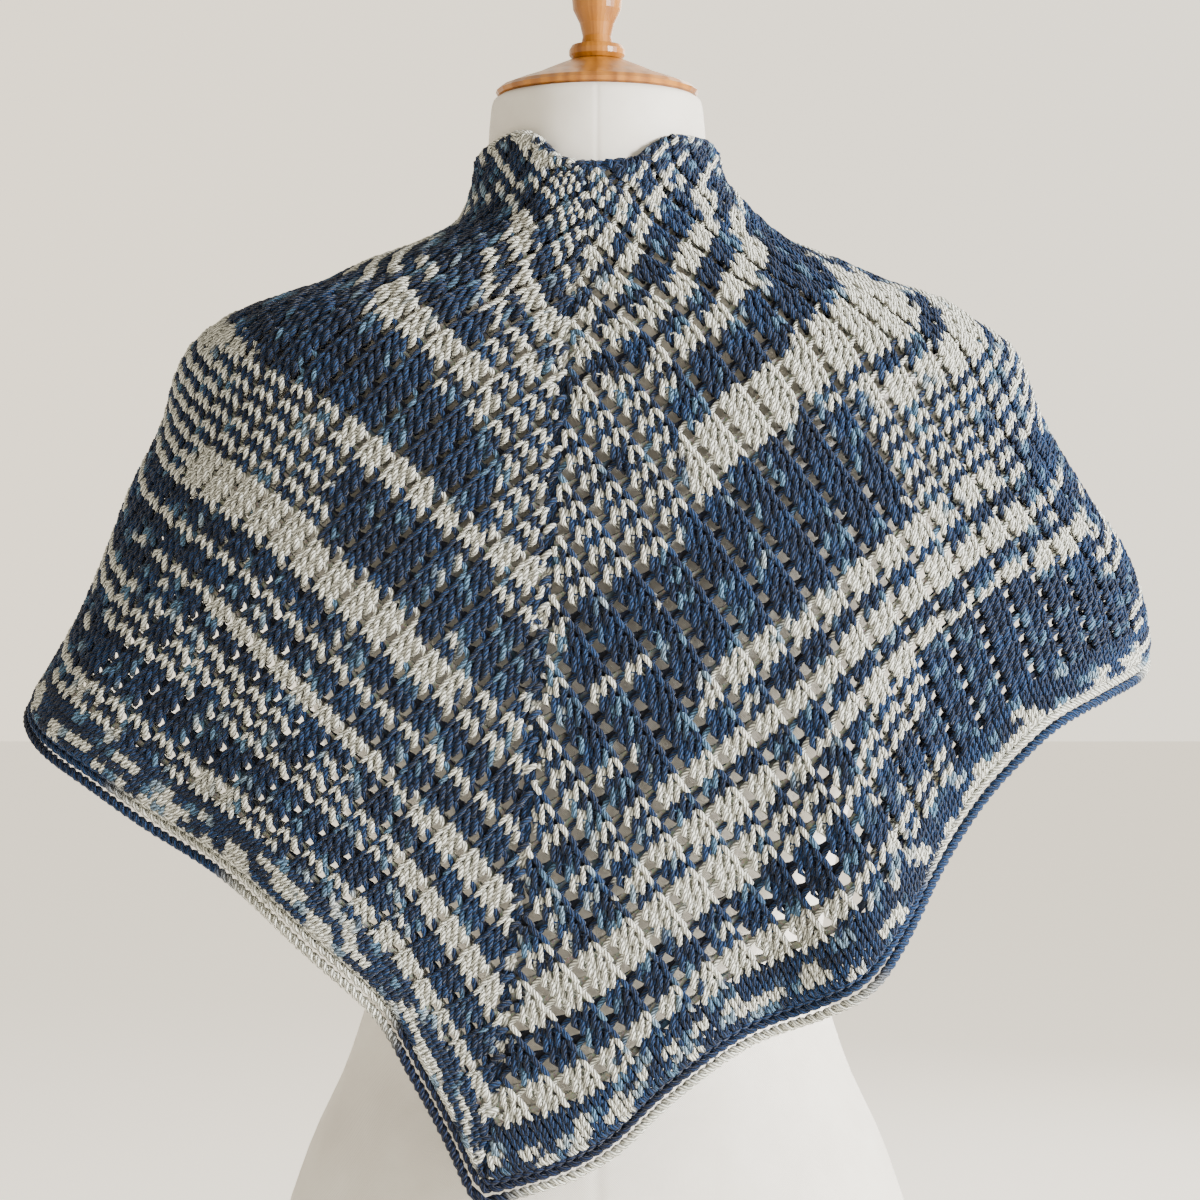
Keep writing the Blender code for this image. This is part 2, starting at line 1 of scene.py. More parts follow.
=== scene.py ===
"""Triangle shawl on a dress form: the knitted yarn, the cover and the wood, in real geometry.

The surface that the stitches lie on is worked out from the same tables as the CAD.
A row runs from the spine to the neck edge, and rows are counted from the nape to
the hem. A cell is one repeat of the mesh: two rows high and two stitches wide, a
plain stitch that makes the ridge and an open one that makes the gap beside it.
"""
import math

import bpy
import numpy as np
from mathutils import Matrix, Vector

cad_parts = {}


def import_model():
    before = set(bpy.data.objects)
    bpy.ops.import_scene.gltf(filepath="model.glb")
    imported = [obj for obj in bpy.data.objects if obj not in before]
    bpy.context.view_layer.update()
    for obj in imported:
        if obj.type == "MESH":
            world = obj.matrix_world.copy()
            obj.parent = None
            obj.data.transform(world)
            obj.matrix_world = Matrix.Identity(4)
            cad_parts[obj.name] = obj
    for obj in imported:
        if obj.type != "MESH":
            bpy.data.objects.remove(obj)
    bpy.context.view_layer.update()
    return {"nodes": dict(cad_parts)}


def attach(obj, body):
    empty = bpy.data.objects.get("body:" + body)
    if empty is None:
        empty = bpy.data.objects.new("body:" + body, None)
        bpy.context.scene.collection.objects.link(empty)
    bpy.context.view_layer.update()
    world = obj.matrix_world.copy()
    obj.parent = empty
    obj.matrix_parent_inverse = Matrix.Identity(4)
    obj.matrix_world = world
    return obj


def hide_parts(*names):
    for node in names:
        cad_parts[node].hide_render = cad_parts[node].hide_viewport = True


# Heights and sizes that the CAD uses too
NECK_EDGE_HEIGHT = 0.860
HEM_CORD_RADIUS = 0.0036
NECK_CORD_RADIUS = 0.0026
LAP_LIFT = 0.0085
LAP_STARTS = 138.0
LAP_FULL = 163.0

# Knitting
ROWS = 80
CELLS_ALONG_HEM = 48
FIRST_MESH_ROW = 1
BORDER_ROWS = 5
YARN_RADIUS = 0.00146
YARN_SIDES = 5
LOOP_HEIGHT = 0.95
LOOP_DEPTH = 0.00180
EVEN_BAR = 0.60
ODD_BAR = -0.16
EVEN_BAR_DEPTH = -0.0024
ODD_BAR_DEPTH = 0.0012
KNIT_LIFT = 0.0006
SPINE_MARGIN = 0.0022
NECK_MARGIN = 0.0030
HEM_MARGIN = 0.0058

# Depth of the worn cloth in metres, which turns the margin at the hem into a share of the rows
CLOTH_DEPTH = 0.36

# Rings of the worn cloth, through the middle of its wall
RING_COLUMNS = ("drop", "left", "right", "back", "front", "squareness")
CLOTH_RINGS = (
    (-0.0300, 0.0575, 0.0575, 0.0570, 0.0560, 2.00),
    (0.0000, 0.0600, 0.0615, 0.0600, 0.0580, 2.00),
    (0.0130, 0.0630, 0.0715, 0.0635, 0.0600, 2.00),
    (0.0251, 0.0698, 0.0835, 0.0670, 0.0620, 2.00),
    (0.0355, 0.0884, 0.0974, 0.0705, 0.0645, 2.05),
    (0.0465, 0.1185, 0.1255, 0.0745, 0.0680, 2.10),
    (0.0565, 0.1395, 0.1485, 0.0785, 0.0720, 2.15),
    (0.0655, 0.1666, 0.1761, 0.0820, 0.0760, 2.20),
    (0.0733, 0.1856, 0.1870, 0.0850, 0.0800, 2.25),
    (0.0898, 0.2050, 0.2095, 0.0915, 0.0880, 2.30),
    (0.1029, 0.2110, 0.2150, 0.0960, 0.0940, 2.30),
    (0.1221, 0.2160, 0.2220, 0.1015, 0.1010, 2.30),
    (0.1620, 0.2346, 0.2450, 0.1095, 0.1110, 2.30),
    (0.1900, 0.2450, 0.2640, 0.1130, 0.1160, 2.30),
    (0.2190, 0.2570, 0.2740, 0.1160, 0.1190, 2.25),
    (0.2480, 0.2730, 0.2780, 0.1185, 0.1200, 2.20),
    (0.2720, 0.2870, 0.2825, 0.1200, 0.1200, 2.20),
    (0.3500, 0.3050, 0.2950, 0.1245, 0.1200, 2.20),
    (0.4300, 0.3150, 0.3050, 0.1280, 0.1200, 2.20),
    (0.5300, 0.3200, 0.3100, 0.1300, 0.1200, 2.20),
)

# Spine, from the neck edge to the point, at shares of the rows
EDGE_COLUMNS = ("row", "turn", "drop")
SPINE = (
    (0.00, -4.5, 0.000), (0.13, -5.4, 0.064), (0.25, -6.0, 0.122), (0.41, -7.0, 0.200),
    (0.61, -8.2, 0.300), (0.82, -10.6, 0.402), (1.00, -13.2, 0.491),
)

# Neck edge of each half, from the centre back to the wing tip
NECK_LEFT = (
    (0.00, 4.5, 0.000), (0.05, 17.0, -0.003), (0.12, 39.0, -0.018), (0.19, 63.0, -0.014),
    (0.25, 90.0, -0.008), (0.34, 108.0, 0.010), (0.45, 125.0, 0.032), (0.58, 142.0, 0.056),
    (0.72, 158.0, 0.080), (0.86, 175.0, 0.103), (1.00, 192.0, 0.125),
)
NECK_RIGHT = (
    (0.00, -4.5, 0.000), (0.07, 20.0, -0.003), (0.13, 42.0, -0.016), (0.19, 62.0, -0.016),
    (0.25, 90.0, -0.011), (0.34, 108.0, 0.008), (0.45, 125.0, 0.031), (0.58, 142.0, 0.056),
    (0.72, 158.0, 0.080), (0.86, 175.0, 0.103), (1.00, 192.0, 0.125),
)

# Hem of each half, from the point at the back to the wing tip
HEM_COLUMNS = ("turn", "drop")
HEM_LEFT = (
    (13.2, 0.491), (16.5, 0.462), (20.2, 0.435), (24.2, 0.408), (34.0, 0.373), (44.5, 0.342),
    (55.5, 0.320), (67.0, 0.295), (78.0, 0.276), (88.0, 0.260), (97.0, 0.241), (110.0, 0.214),
    (130.0, 0.184), (150.0, 0.160), (170.0, 0.140), (192.0, 0.125),
)
HEM_RIGHT = (
    (-13.2, 0.491), (-4.0, 0.480), (1.5, 0.468), (8.0, 0.444), (17.5, 0.418), (26.0, 0.404),
    (31.0, 0.393), (36.0, 0.371), (42.8, 0.335), (51.8, 0.295), (60.8, 0.269), (70.0, 0.257),
    (80.0, 0.248), (88.0, 0.238), (97.0, 0.215), (110.0, 0.188), (130.0, 0.166), (150.0, 0.150),
    (170.0, 0.137), (192.0, 0.125),
)

# Shape of the straighter rows higher up, drawn as if they ran at the hem
ROW_LEFT = (
    (13.2, 0.491), (24.0, 0.445), (44.5, 0.370), (67.0, 0.299), (85.0, 0.262), (97.0, 0.240),
    (110.0, 0.214), (130.0, 0.184), (160.0, 0.150), (192.0, 0.125),
)
ROW_RIGHT = (
    (-13.2, 0.491), (0.0, 0.451), (17.5, 0.401), (36.0, 0.346), (51.8, 0.303), (70.0, 0.264),
    (85.0, 0.240), (97.0, 0.216), (110.0, 0.190), (130.0, 0.167), (160.0, 0.143), (192.0, 0.125),
)
ROWS_BEND_FROM = 0.62
HALF_TABLES = {"left": (HEM_LEFT, ROW_LEFT, NECK_LEFT), "right": (HEM_RIGHT, ROW_RIGHT, NECK_RIGHT)}

# Upright flutes: where, how wide and how deep each is, and the drops where it starts and is full
FLUTE_COLUMNS = ("turn", "spread", "height", "starts", "full")
FLUTES = (
    (32.0, 5.5, 0.015, 0.200, 0.380),
    (20.0, 5.0, -0.005, 0.260, 0.400),
    (46.0, 5.0, -0.004, 0.200, 0.320),
    (63.0, 6.5, 0.006, 0.180, 0.300),
    (-34.0, 6.5, 0.006, 0.260, 0.400),
    (-52.0, 5.5, -0.004, 0.200, 0.320),
    (-72.0, 6.5, 0.006, 0.160, 0.260),
    (104.0, 6.0, 0.005, 0.100, 0.200),
    (-107.0, 6.5, 0.006, 0.110, 0.210),
)

# Soft folds across the front, from the shoulder to the lap
SWAG_COLUMNS = ("turn_out", "drop_out", "turn_in", "drop_in", "spread", "height")
SWAGS = (
    (96.0, 0.060, 165.0, 0.108, 0.010, 0.004),
    (92.0, 0.115, 160.0, 0.128, 0.012, 0.005),
    (-94.0, 0.065, -168.0, 0.110, 0.011, 0.005),
    (-96.0, 0.135, -160.0, 0.132, 0.012, 0.004),
)

# Rings of the dress form, each with half its width and its depths behind and in front
FORM_COLUMNS = ("drop", "width", "back", "front", "squareness")
FORM_RINGS = (
    (-0.0410, 0.0500, 0.0490, 0.0480, 2.00),
    (-0.0390, 0.0526, 0.0516, 0.0506, 2.00),
    (-0.0340, 0.0538, 0.0530, 0.0520, 2.00),
    (0.0000, 0.0564, 0.0562, 0.0544, 2.00),
    (0.0130, 0.0591, 0.0597, 0.0564, 2.00),
    (0.0272, 0.0671, 0.0633, 0.0585, 2.00),
    (0.0380, 0.0862, 0.0674, 0.0613, 2.05),
    (0.0490, 0.1165, 0.0717, 0.0652, 2.10),
    (0.0590, 0.1375, 0.0757, 0.0695, 2.15),
    (0.0680, 0.1635, 0.0793, 0.0735, 2.20),
    (0.0760, 0.1800, 0.0830, 0.0780, 2.25),
    (0.0880, 0.1920, 0.0870, 0.0830, 2.25),
    (0.1020, 0.1960, 0.0910, 0.0880, 2.25),
    (0.1220, 0.1930, 0.0950, 0.0940, 2.20),
    (0.1500, 0.1820, 0.0995, 0.1010, 2.20),
    (0.1900, 0.1660, 0.1020, 0.1090, 2.20),
    (0.2300, 0.1540, 0.1010, 0.1120, 2.15),
    (0.2800, 0.1400, 0.0960, 0.1060, 2.10),
    (0.3400, 0.1220, 0.0890, 0.0940, 2.10),
    (0.3950, 0.1130, 0.0860, 0.0880, 2.10),
    (0.4400, 0.1240, 0.0930, 0.0900, 2.10),
    (0.4900, 0.1460, 0.1080, 0.0960, 2.10),
    (0.5400, 0.1610, 0.1170, 0.1020, 2.10),
    (0.5900, 0.1660, 0.1180, 0.1050, 2.10),
    (0.6120, 0.1630, 0.1150, 0.1030, 2.10),
    (0.6200, 0.1590, 0.1110, 0.0990, 2.10),
    (0.6220, 0.1540, 0.1060, 0.0940, 2.10),
)

# Fineness of the tables that the surface is read from, and of the steps along it
DROP_LEVELS = np.linspace(-0.030, 0.530, 281)
TURN_STEPS = 180
RING_SAMPLES = 91
CURVE_SAMPLES = 400
ROW_SAMPLES = 60
INSET_SAMPLES = 80
INSET_REACH = 0.8
NEIGHBOUR_TURN = 0.5
NEIGHBOUR_SHARE = 0.002
NEAREST_NAPE = 0.004
SWAG_END_SHARE = 0.25


def column(columns, table, name):
    """One named column of a table, as an array."""
    return np.array([row[columns.index(name)] for row in table], dtype=float)


def smooth_between(places, values, at):
    """Smooth curve through a table's values that never swings past them."""
    at = np.clip(np.asarray(at, dtype=float), places[0], places[-1])
    steps = np.diff(places)
    rates = np.diff(values) / steps
    slopes = np.zeros(len(places))
    slopes[0] = rates[0]
    slopes[-1] = rates[-1]
    for index in range(1, len(places) - 1):
        before = rates[index - 1]
        after = rates[index]
        if before * after > 0.0:
            weight_before = 2.0 * steps[index] + steps[index - 1]
            weight_after = steps[index] + 2.0 * steps[index - 1]
            total = weight_before + weight_after
            slopes[index] = total / (weight_before / before + weight_after / after)
    span = np.clip(np.searchsorted(places, at, side="right") - 1, 0, len(steps) - 1)
    width = steps[span]
    part = (at - places[span]) / width
    start = values[span] * (1.0 + 2.0 * part) * (1.0 - part) ** 2
    end = values[span + 1] * part ** 2 * (3.0 - 2.0 * part)
    leaving = slopes[span] * width * part * (1.0 - part) ** 2
    arriving = slopes[span + 1] * width * part ** 2 * (part - 1.0)
    return start + end + leaving + arriving


def ease(value):
    """0 below 0, 1 above 1 and a smooth step between them."""
    value = np.clip(value, 0.0, 1.0)
    return value * value * (3.0 - 2.0 * value)


def half_ring(width, back, front, squareness):
    """Half of a ring at even steps of its girth, from the centre back to the centre front."""
    power = 2.0 / squareness
    angle = np.linspace(0.0, 0.5 * math.pi, RING_SAMPLES)
    rising = np.sin(angle) ** power
    falling = np.maximum(np.cos(angle), 0.0) ** power
    across = np.concatenate((width * rising, width * falling[1:]))
    deep = np.concatenate((-back * falling, front * rising[1:]))
    length = np.concatenate(([0.0], np.cumsum(np.hypot(np.diff(across), np.diff(deep)))))
    even = np.linspace(0.0, length[-1], TURN_STEPS + 1)
    return np.interp(even, length, across), np.interp(even, length, deep)


def lengths_along(points):
    """Length of a row of points from its first point to each of them."""
    return np.concatenate(([0.0], np.cumsum(np.linalg.norm(np.diff(points, axis=0), axis=1))))


def total_length(points):
    """Length of a row of points."""
    return float(np.linalg.norm(np.diff(points, axis=0), axis=1).sum())


def rings_at(columns, table, names, levels):
    """Half rings at some drops, read smoothly from a table, as across and deep values for each drop."""
    drops = column(columns, table, "drop")
    sizes = [smooth_between(drops, column(columns, table, name), levels) for name in names]
    across, deep = zip(*(half_ring(*size) for size in zip(*sizes)))
    return np.array(across), np.array(deep)


RING_TABLES = {
    side: rings_at(RING_COLUMNS, CLOTH_RINGS, (side, "back", "front", "squareness"), DROP_LEVELS)
    for side in ("left", "right")
}


def read_table(table, turn, drop):
    """A value of a ring table between its rows and columns."""
    level = np.clip(drop, DROP_LEVELS[0], DROP_LEVELS[-1]) - DROP_LEVELS[0]
    level = level / (DROP_LEVELS[1] - DROP_LEVELS[0])
    low = np.clip(np.floor(level).astype(int), 0, len(DROP_LEVELS) - 2)
    step = np.clip(turn, 0.0, 180.0) * TURN_STEPS / 180.0
    near = np.clip(np.floor(step).astype(int), 0, TURN_STEPS - 1)
    down = level - low
    along = step - near
    upper = table[low, near] * (1.0 - along) + table[low, near + 1] * along
    lower = table[low + 1, near] * (1.0 - along) + table[low + 1, near + 1] * along
    return upper * (1.0 - down) + lower * down


def bare_ring(turn, drop):
    """Across and deep of the cloth before its folds, at signed turns up to 200 either way."""
    past_front = np.abs(turn) > 180.0
    reach = np.where(past_front, 360.0 - np.abs(turn), np.abs(turn))
    on_right = np.where(past_front, turn < 0.0, turn >= 0.0)
    across_right = read_table(RING_TABLES["right"][0], reach, drop)
    across_left = -read_table(RING_TABLES["left"][0], reach, drop)
    deep_right = read_table(RING_TABLES["right"][1], reach, drop)
    deep_left = read_table(RING_TABLES["left"][1], reach, drop)
    return np.where(on_right, across_right, across_left), np.where(on_right, deep_right, deep_left)


def fold_height(turn, drop):
    """How far the folds move the cloth out from its ring."""
    height = np.zeros(np.broadcast(turn, drop).shape)
    for row in FLUTES:
        fold = dict(zip(FLUTE_COLUMNS, row))
        bump = np.exp(-0.5 * ((turn - fold["turn"]) / fold["spread"]) ** 2)
        grown = ease((drop - fold["starts"]) / (fold["full"] - fold["starts"]))
        height = height + fold["height"] * bump * grown
    for row in SWAGS:
        fold = dict(zip(SWAG_COLUMNS, row))
        along = (turn - fold["turn_out"]) / (fold["turn_in"] - fold["turn_out"])
        middle = fold["drop_out"] + (fold["drop_in"] - fold["drop_out"]) * along
        bump = np.exp(-0.5 * ((drop - middle) / fold["spread"]) ** 2)
        ends = ease(along / SWAG_END_SHARE) * ease((1.0 - along) / SWAG_END_SHARE)
        height = height + fold["height"] * bump * ends
    return height


def cloth_point(turn, drop, lapped):
    """Points on the worn cloth; the lapped half lies over the other one at the front."""
    turn, drop = np.broadcast_arrays(np.asarray(turn, float), np.asarray(drop, float))
    across, deep = bare_ring(turn, drop)
    next_across, next_deep = bare_ring(turn + NEIGHBOUR_TURN, drop)
    last_across, last_deep = bare_ring(turn - NEIGHBOUR_TURN, drop)
    run_across = next_across - last_across
    run_deep = next_deep - last_deep
    run = np.hypot(run_across, run_deep)
    out = fold_height(turn, drop)
    if lapped:
        out = out + LAP_LIFT * ease((turn - LAP_STARTS) / (LAP_FULL - LAP_STARTS))
    return np.stack((
        across + out * run_deep / run,
        deep - out * run_across / run,
        NECK_EDGE_HEIGHT - drop,
    ), axis=-1)


def even_along(turns, drops, lapped):
    """A curve on the cloth as the share of its length, the turn and the drop at many places on it."""
    corner = np.linspace(0.0, 1.0, len(turns))
    fine = np.linspace(0.0, 1.0, CURVE_SAMPLES)
    fine_turns = smooth_between(corner, turns, fine)
    fine_drops = smooth_between(corner, drops, fine)
    length = lengths_along(cloth_point(fine_turns, fine_drops, lapped))
    return length / length[-1], fine_turns, fine_drops


class Half:
    """One half of the shawl: rows run from the spine, along 0, to the neck edge, along 1."""

    def __init__(self, name):
        self.name = name
        self.lapped = name == "right"
        self.sign = 1.0 if self.lapped else -1.0
        hem, upper, neck = HALF_TABLES[name]
        self.hem_share, self.hem_shape = self.profile(hem)
        self.upper_share, self.upper_shape = self.profile(upper)
        self.neck_rows = column(EDGE_COLUMNS, neck, "row")
        turns = self.sign * column(EDGE_COLUMNS, neck, "turn")
        self.neck_ends = (turns, column(EDGE_COLUMNS, neck, "drop"))
        self.spine_rows = column(EDGE_COLUMNS, SPINE, "row")
        self.spine_ends = (column(EDGE_COLUMNS, SPINE, "turn"), column(EDGE_COLUMNS, SPINE, "drop"))

    def profile(self, table):
        """Shape of a row: how much of its turn and drop is done at each share of its length."""
        turns = self.sign * column(HEM_COLUMNS, table, "turn")
        drops = column(HEM_COLUMNS, table, "drop")
        share, turns, drops = even_along(turns, drops, self.lapped)
        done = [(line - line[0]) / (line[-1] - line[0]) for line in (turns, drops)]
        return share, done

    def place(self, row, along):
        """Turn and drop of a stitch from its row, 0 to 1, and its share of that row."""
        bend = ease((row - ROWS_BEND_FROM) / (1.0 - ROWS_BEND_FROM))
        place = []
        for index in range(2):
            spine = smooth_between(self.spine_rows, self.spine_ends[index], row)
            neck = smooth_between(self.neck_rows, self.neck_ends[index], row)
            upper = np.interp(along, self.upper_share, self.upper_shape[index])
            hem = np.interp(along, self.hem_share, self.hem_shape[index])
            done = upper + (hem - upper) * bend
            place.append(spine + (neck - spine) * done)
        return place

    def point(self, row, along):
        """Point on the cloth from its row and its share of that row."""
        row, along = np.broadcast_arrays(np.asarray(row, float), np.asarray(along, float))
        turn, drop = self.place(row, along)
        return cloth_point(turn, drop, self.lapped)

    def edge_points(self, edge):
        """Closely spaced points along the hem or the neck edge."""
        share = np.linspace(0.0, 1.0, CURVE_SAMPLES)
        return self.point(share, 1.0) if edge == "neck" else self.point(1.0, share)

    def inset(self, edge, beside, distance):
        """Share of the way in from the hem or the neck edge where a distance from it is reached."""
        steps = np.linspace(0.0, 1.0, INSET_SAMPLES) ** 2 * INSET_REACH
        beside = np.asarray(beside, float)
        if edge == "neck":
            points = self.point(beside[..., None], 1.0 - steps)
        else:
            points = self.point(1.0 - steps, beside[..., None])
        flat = points.reshape(-1, 3)
        nearest = np.full(len(flat), np.inf)
        for place in self.edge_points(edge):
            nearest = np.minimum(nearest, np.linalg.norm(flat - place, axis=1))
        nearest = nearest.reshape(-1, len(steps))
        found = [np.interp(distance, np.maximum.accumulate(line), steps) for line in nearest]
        return np.array(found).reshape(beside.shape)


def surface_frame(half, row, along):
    """Points of one half with the unit directions out of the cloth, along the row and down the rows."""
    row, along = np.broadcast_arrays(np.asarray(row, float), np.asarray(along, float))
    step = NEIGHBOUR_SHARE
    points = half.point(row, along)
    across = half.point(row, along + step) - half.point(row, along - step)
    down = half.point(row + step, along) - half.point(row - step, along)
    out = np.cross(down, across) * half.sign
    return points, unit(out), unit(across), unit(down)


def unit(vectors):
    """Vectors scaled to length one."""
    return vectors / np.maximum(np.linalg.norm(vectors, axis=-1, keepdims=True), 1e-9)


def scatter(index, seed):
    """A fixed number from 0 to 1 for each whole number."""
    value = np.sin(np.asarray(index, float) * 12.9898 + seed * 78.233) * 43758.5453
    return value - np.floor(value)


# Waves of the slow noise: length in metres and weight
NOISE_WAVES = ((0.110, 0.5), (0.047, 0.3), (0.021, 0.2))
WAVE_SEED_STEP = 7.0


def slow_noise(row, distance, seed):
    """Values from 0 to 1 that wander along each row."""
    total = np.zeros(np.broadcast(row, distance).shape)
    for wave, (length, weight) in enumerate(NOISE_WAVES):
        phase = scatter(row, seed + wave * WAVE_SEED_STEP)
        total = total + weight * (0.5 + 0.5 * np.sin(2.0 * math.pi * (distance / length + phase)))
    return total


# Stripes and patches of the variegated yarn: the row at the spine, at a third of the way and
# at the side, how many rows deep, from where to where along the row, and the share of cream
BAND_COLUMNS = ("spine_row", "middle_row", "side_row", "depth", "starts", "ends", "cream")
BANDS = {
    "left": (
        (0.050, 0.050, 0.050, 8, 0.00, 1.00, 0.42),
        (0.120, 0.120, 0.120, 5, 0.00, 1.00, 0.42),
        (0.165, 0.165, 0.170, 3, 0.00, 1.00, 0.25),
        (0.120, 0.120, 0.130, 3, 0.60, 1.00, 0.90),
        (0.195, 0.200, 0.215, 2, 0.00, 0.50, 1.00),
        (0.220, 0.225, 0.245, 2, 0.00, 1.00, 0.10),
        (0.242, 0.242, 0.255, 2, 0.00, 0.40, 1.00),
        (0.270, 0.265, 0.285, 4, 0.14, 1.00, 0.12),
        (0.300, 0.300, 0.300, 7, 0.00, 0.20, 0.46),
        (0.300, 0.322, 0.345, 2, 0.15, 0.50, 1.00),
        (0.385, 0.392, 0.440, 7, 0.10, 1.00, 0.00),
        (0.385, 0.390, 0.400, 7, 0.00, 0.10, 0.42),
        (0.432, 0.464, 0.478, 2, 0.00, 0.80, 1.00),
        (0.540, 0.530, 0.530, 10, 0.32, 0.95, 0.50),
        (0.470, 0.478, 0.495, 3, 0.58, 0.85, 0.90),
        (0.515, 0.528, 0.540, 8, 0.02, 0.31, 0.05),
        (0.460, 0.490, 0.500, 1, 0.00, 0.10, 0.50),
        (0.585, 0.612, 0.640, 4, 0.10, 0.50, 1.00),
        (0.585, 0.612, 0.640, 4, 0.00, 0.10, 0.48),
        (0.600, 0.612, 0.640, 4, 0.50, 0.95, 0.42),
        (0.635, 0.645, 0.660, 2, 0.00, 0.95, 0.06),
        (0.665, 0.675, 0.690, 1, 0.00, 0.55, 1.00),
        (0.700, 0.706, 0.712, 3, 0.00, 0.95, 0.05),
        (0.745, 0.735, 0.740, 2, 0.00, 0.38, 1.00),
        (0.745, 0.735, 0.740, 3, 0.38, 0.90, 0.30),
        (0.780, 0.765, 0.770, 3, 0.00, 0.60, 0.06),
        (0.838, 0.800, 0.800, 4, 0.00, 0.14, 1.00),
        (0.820, 0.808, 0.800, 5, 0.14, 0.90, 0.36),
        (0.880, 0.865, 0.860, 4, 0.00, 0.60, 0.08),
        (0.917, 0.915, 0.915, 2, 0.00, 0.14, 0.95),
        (0.917, 0.915, 0.915, 2, 0.14, 0.60, 0.62),
    ),
    "right": (
        (0.050, 0.050, 0.050, 8, 0.00, 0.55, 0.40),
        (0.060, 0.060, 0.060, 10, 0.55, 1.00, 0.02),
        (0.105, 0.105, 0.105, 2, 0.00, 0.90, 0.25),
        (0.132, 0.132, 0.132, 2, 0.00, 0.50, 1.00),
        (0.156, 0.156, 0.156, 2, 0.00, 0.90, 0.12),
        (0.178, 0.180, 0.180, 2, 0.00, 0.62, 1.00),
        (0.200, 0.206, 0.210, 2, 0.00, 0.90, 0.10),
        (0.208, 0.243, 0.258, 2, 0.00, 0.66, 1.00),
        (0.236, 0.268, 0.282, 2, 0.00, 0.90, 0.05),
        (0.262, 0.292, 0.305, 2, 0.02, 0.70, 1.00),
        (0.345, 0.345, 0.345, 5, 0.18, 0.95, 0.03),
        (0.350, 0.350, 0.350, 14, 0.00, 0.18, 0.47),
        (0.350, 0.350, 0.350, 3, 0.04, 0.12, 0.15),
        (0.408, 0.408, 0.410, 6, 0.19, 0.66, 1.00),
        (0.458, 0.455, 0.450, 2, 0.18, 0.90, 0.15),
        (0.495, 0.495, 0.495, 4, 0.44, 0.75, 0.95),
        (0.550, 0.550, 0.550, 6, 0.40, 0.90, 0.42),
        (0.540, 0.540, 0.540, 11, 0.03, 0.41, 0.02),
        (0.505, 0.513, 0.520, 1, 0.13, 0.41, 0.42),
        (0.562, 0.562, 0.562, 1, 0.03, 0.20, 0.38),
        (0.610, 0.610, 0.610, 4, 0.40, 0.90, 0.42),
        (0.620, 0.620, 0.620, 3, 0.00, 0.16, 0.20),
        (0.652, 0.648, 0.645, 3, 0.17, 0.50, 0.90),
        (0.680, 0.677, 0.675, 2, 0.12, 0.90, 0.10),
        (0.735, 0.708, 0.705, 3, 0.12, 0.50, 1.00),
        (0.735, 0.708, 0.705, 3, 0.00, 0.12, 0.35),
        (0.750, 0.740, 0.735, 2, 0.10, 0.90, 0.10),
        (0.778, 0.768, 0.766, 1, 0.08, 0.55, 1.00),
        (0.800, 0.795, 0.790, 2, 0.00, 0.90, 0.12),
        (0.828, 0.830, 0.820, 4, 0.00, 0.19, 0.92),
        (0.820, 0.830, 0.820, 4, 0.19, 0.90, 0.42),
        (0.872, 0.870, 0.870, 3, 0.00, 0.70, 0.08),
        (0.912, 0.910, 0.905, 2, 0.00, 0.30, 0.85),
        (0.912, 0.910, 0.905, 2, 0.30, 0.90, 0.45),
        (0.862, 0.862, 0.862, 13, 0.355, 0.52, 0.02),
    ),
}
BAND_PLACES = (0.0, 0.35, 0.75)
ELSEWHERE_CREAM = 0.30
BORDER_STITCHES = 3
BORDER_CREAM = (0.22, 0.28, 0.55, 0.34, 0.14)

# The left half's border turns creamier towards its wing tip
CREAMIER_FROM = 0.55
CREAMIER_RATE = 4.0
CREAMIER_BY = 0.9

# How the colour wanders along the yarn: the length of the last row in metres, shares of the
# wander that change with each course or each few stitches of the border, and how sharply
# blue turns into cream
LAST_ROW_LENGTH = 0.8
COURSE_WANDER = 0.5
STITCH_WANDER = 0.75
PATCHES_PER_STITCH = 0.7
CREAM_SHARPNESS = 14.0
WANDER_SEEDS = {"left": 3.0, "right": 11.0}

# Blues: the least share of denim, how dark the patches leave it, and where pale blue shows
LEAST_DENIM = 0.25
DARKEST_PATCH = 0.40
PALE_FROM = 0.76
PALE_RATE = 9.0
PALE_MOST = 0.65
PALE_BETWEEN = 0.75
NAVY = np.array((0.0012, 0.0062, 0.0250))
DENIM = np.array((0.0070, 0.0330, 0.1060))
PALE_BLUE = np.array((0.1200, 0.2500, 0.4000))
CREAM = np.array((0.7000, 0.7150, 0.6500))


def cream_share(half, row, along):
    """How much of the yarn is cream at each place, from the bands."""
    share = np.full(np.broadcast(row, along).shape, ELSEWHERE_CREAM)
    for line in BANDS[half.name]:
        band = dict(zip(BAND_COLUMNS, line))
        middle = np.interp(along, BAND_PLACES, [band[name] for name in BAND_COLUMNS[:3]])
        inside = np.abs(row - middle) * ROWS <= 0.5 * band["depth"] + 0.01
        inside = inside & (along >= band["starts"]) & (along <= band["ends"])
        share = np.where(inside, band["cream"], share)
    close = np.clip(np.floor(row * ROWS) - (ROWS - BORDER_ROWS), 0, BORDER_ROWS - 1).astype(int)
    creamier = 0.0 if half.lapped else CREAMIER_BY * ease((along - CREAMIER_FROM) * CREAMIER_RATE)
    edge_share = np.array(BORDER_CREAM)[close] * (1.0 + creamier)
    return np.where(row * ROWS >= ROWS - BORDER_ROWS, edge_share, share)


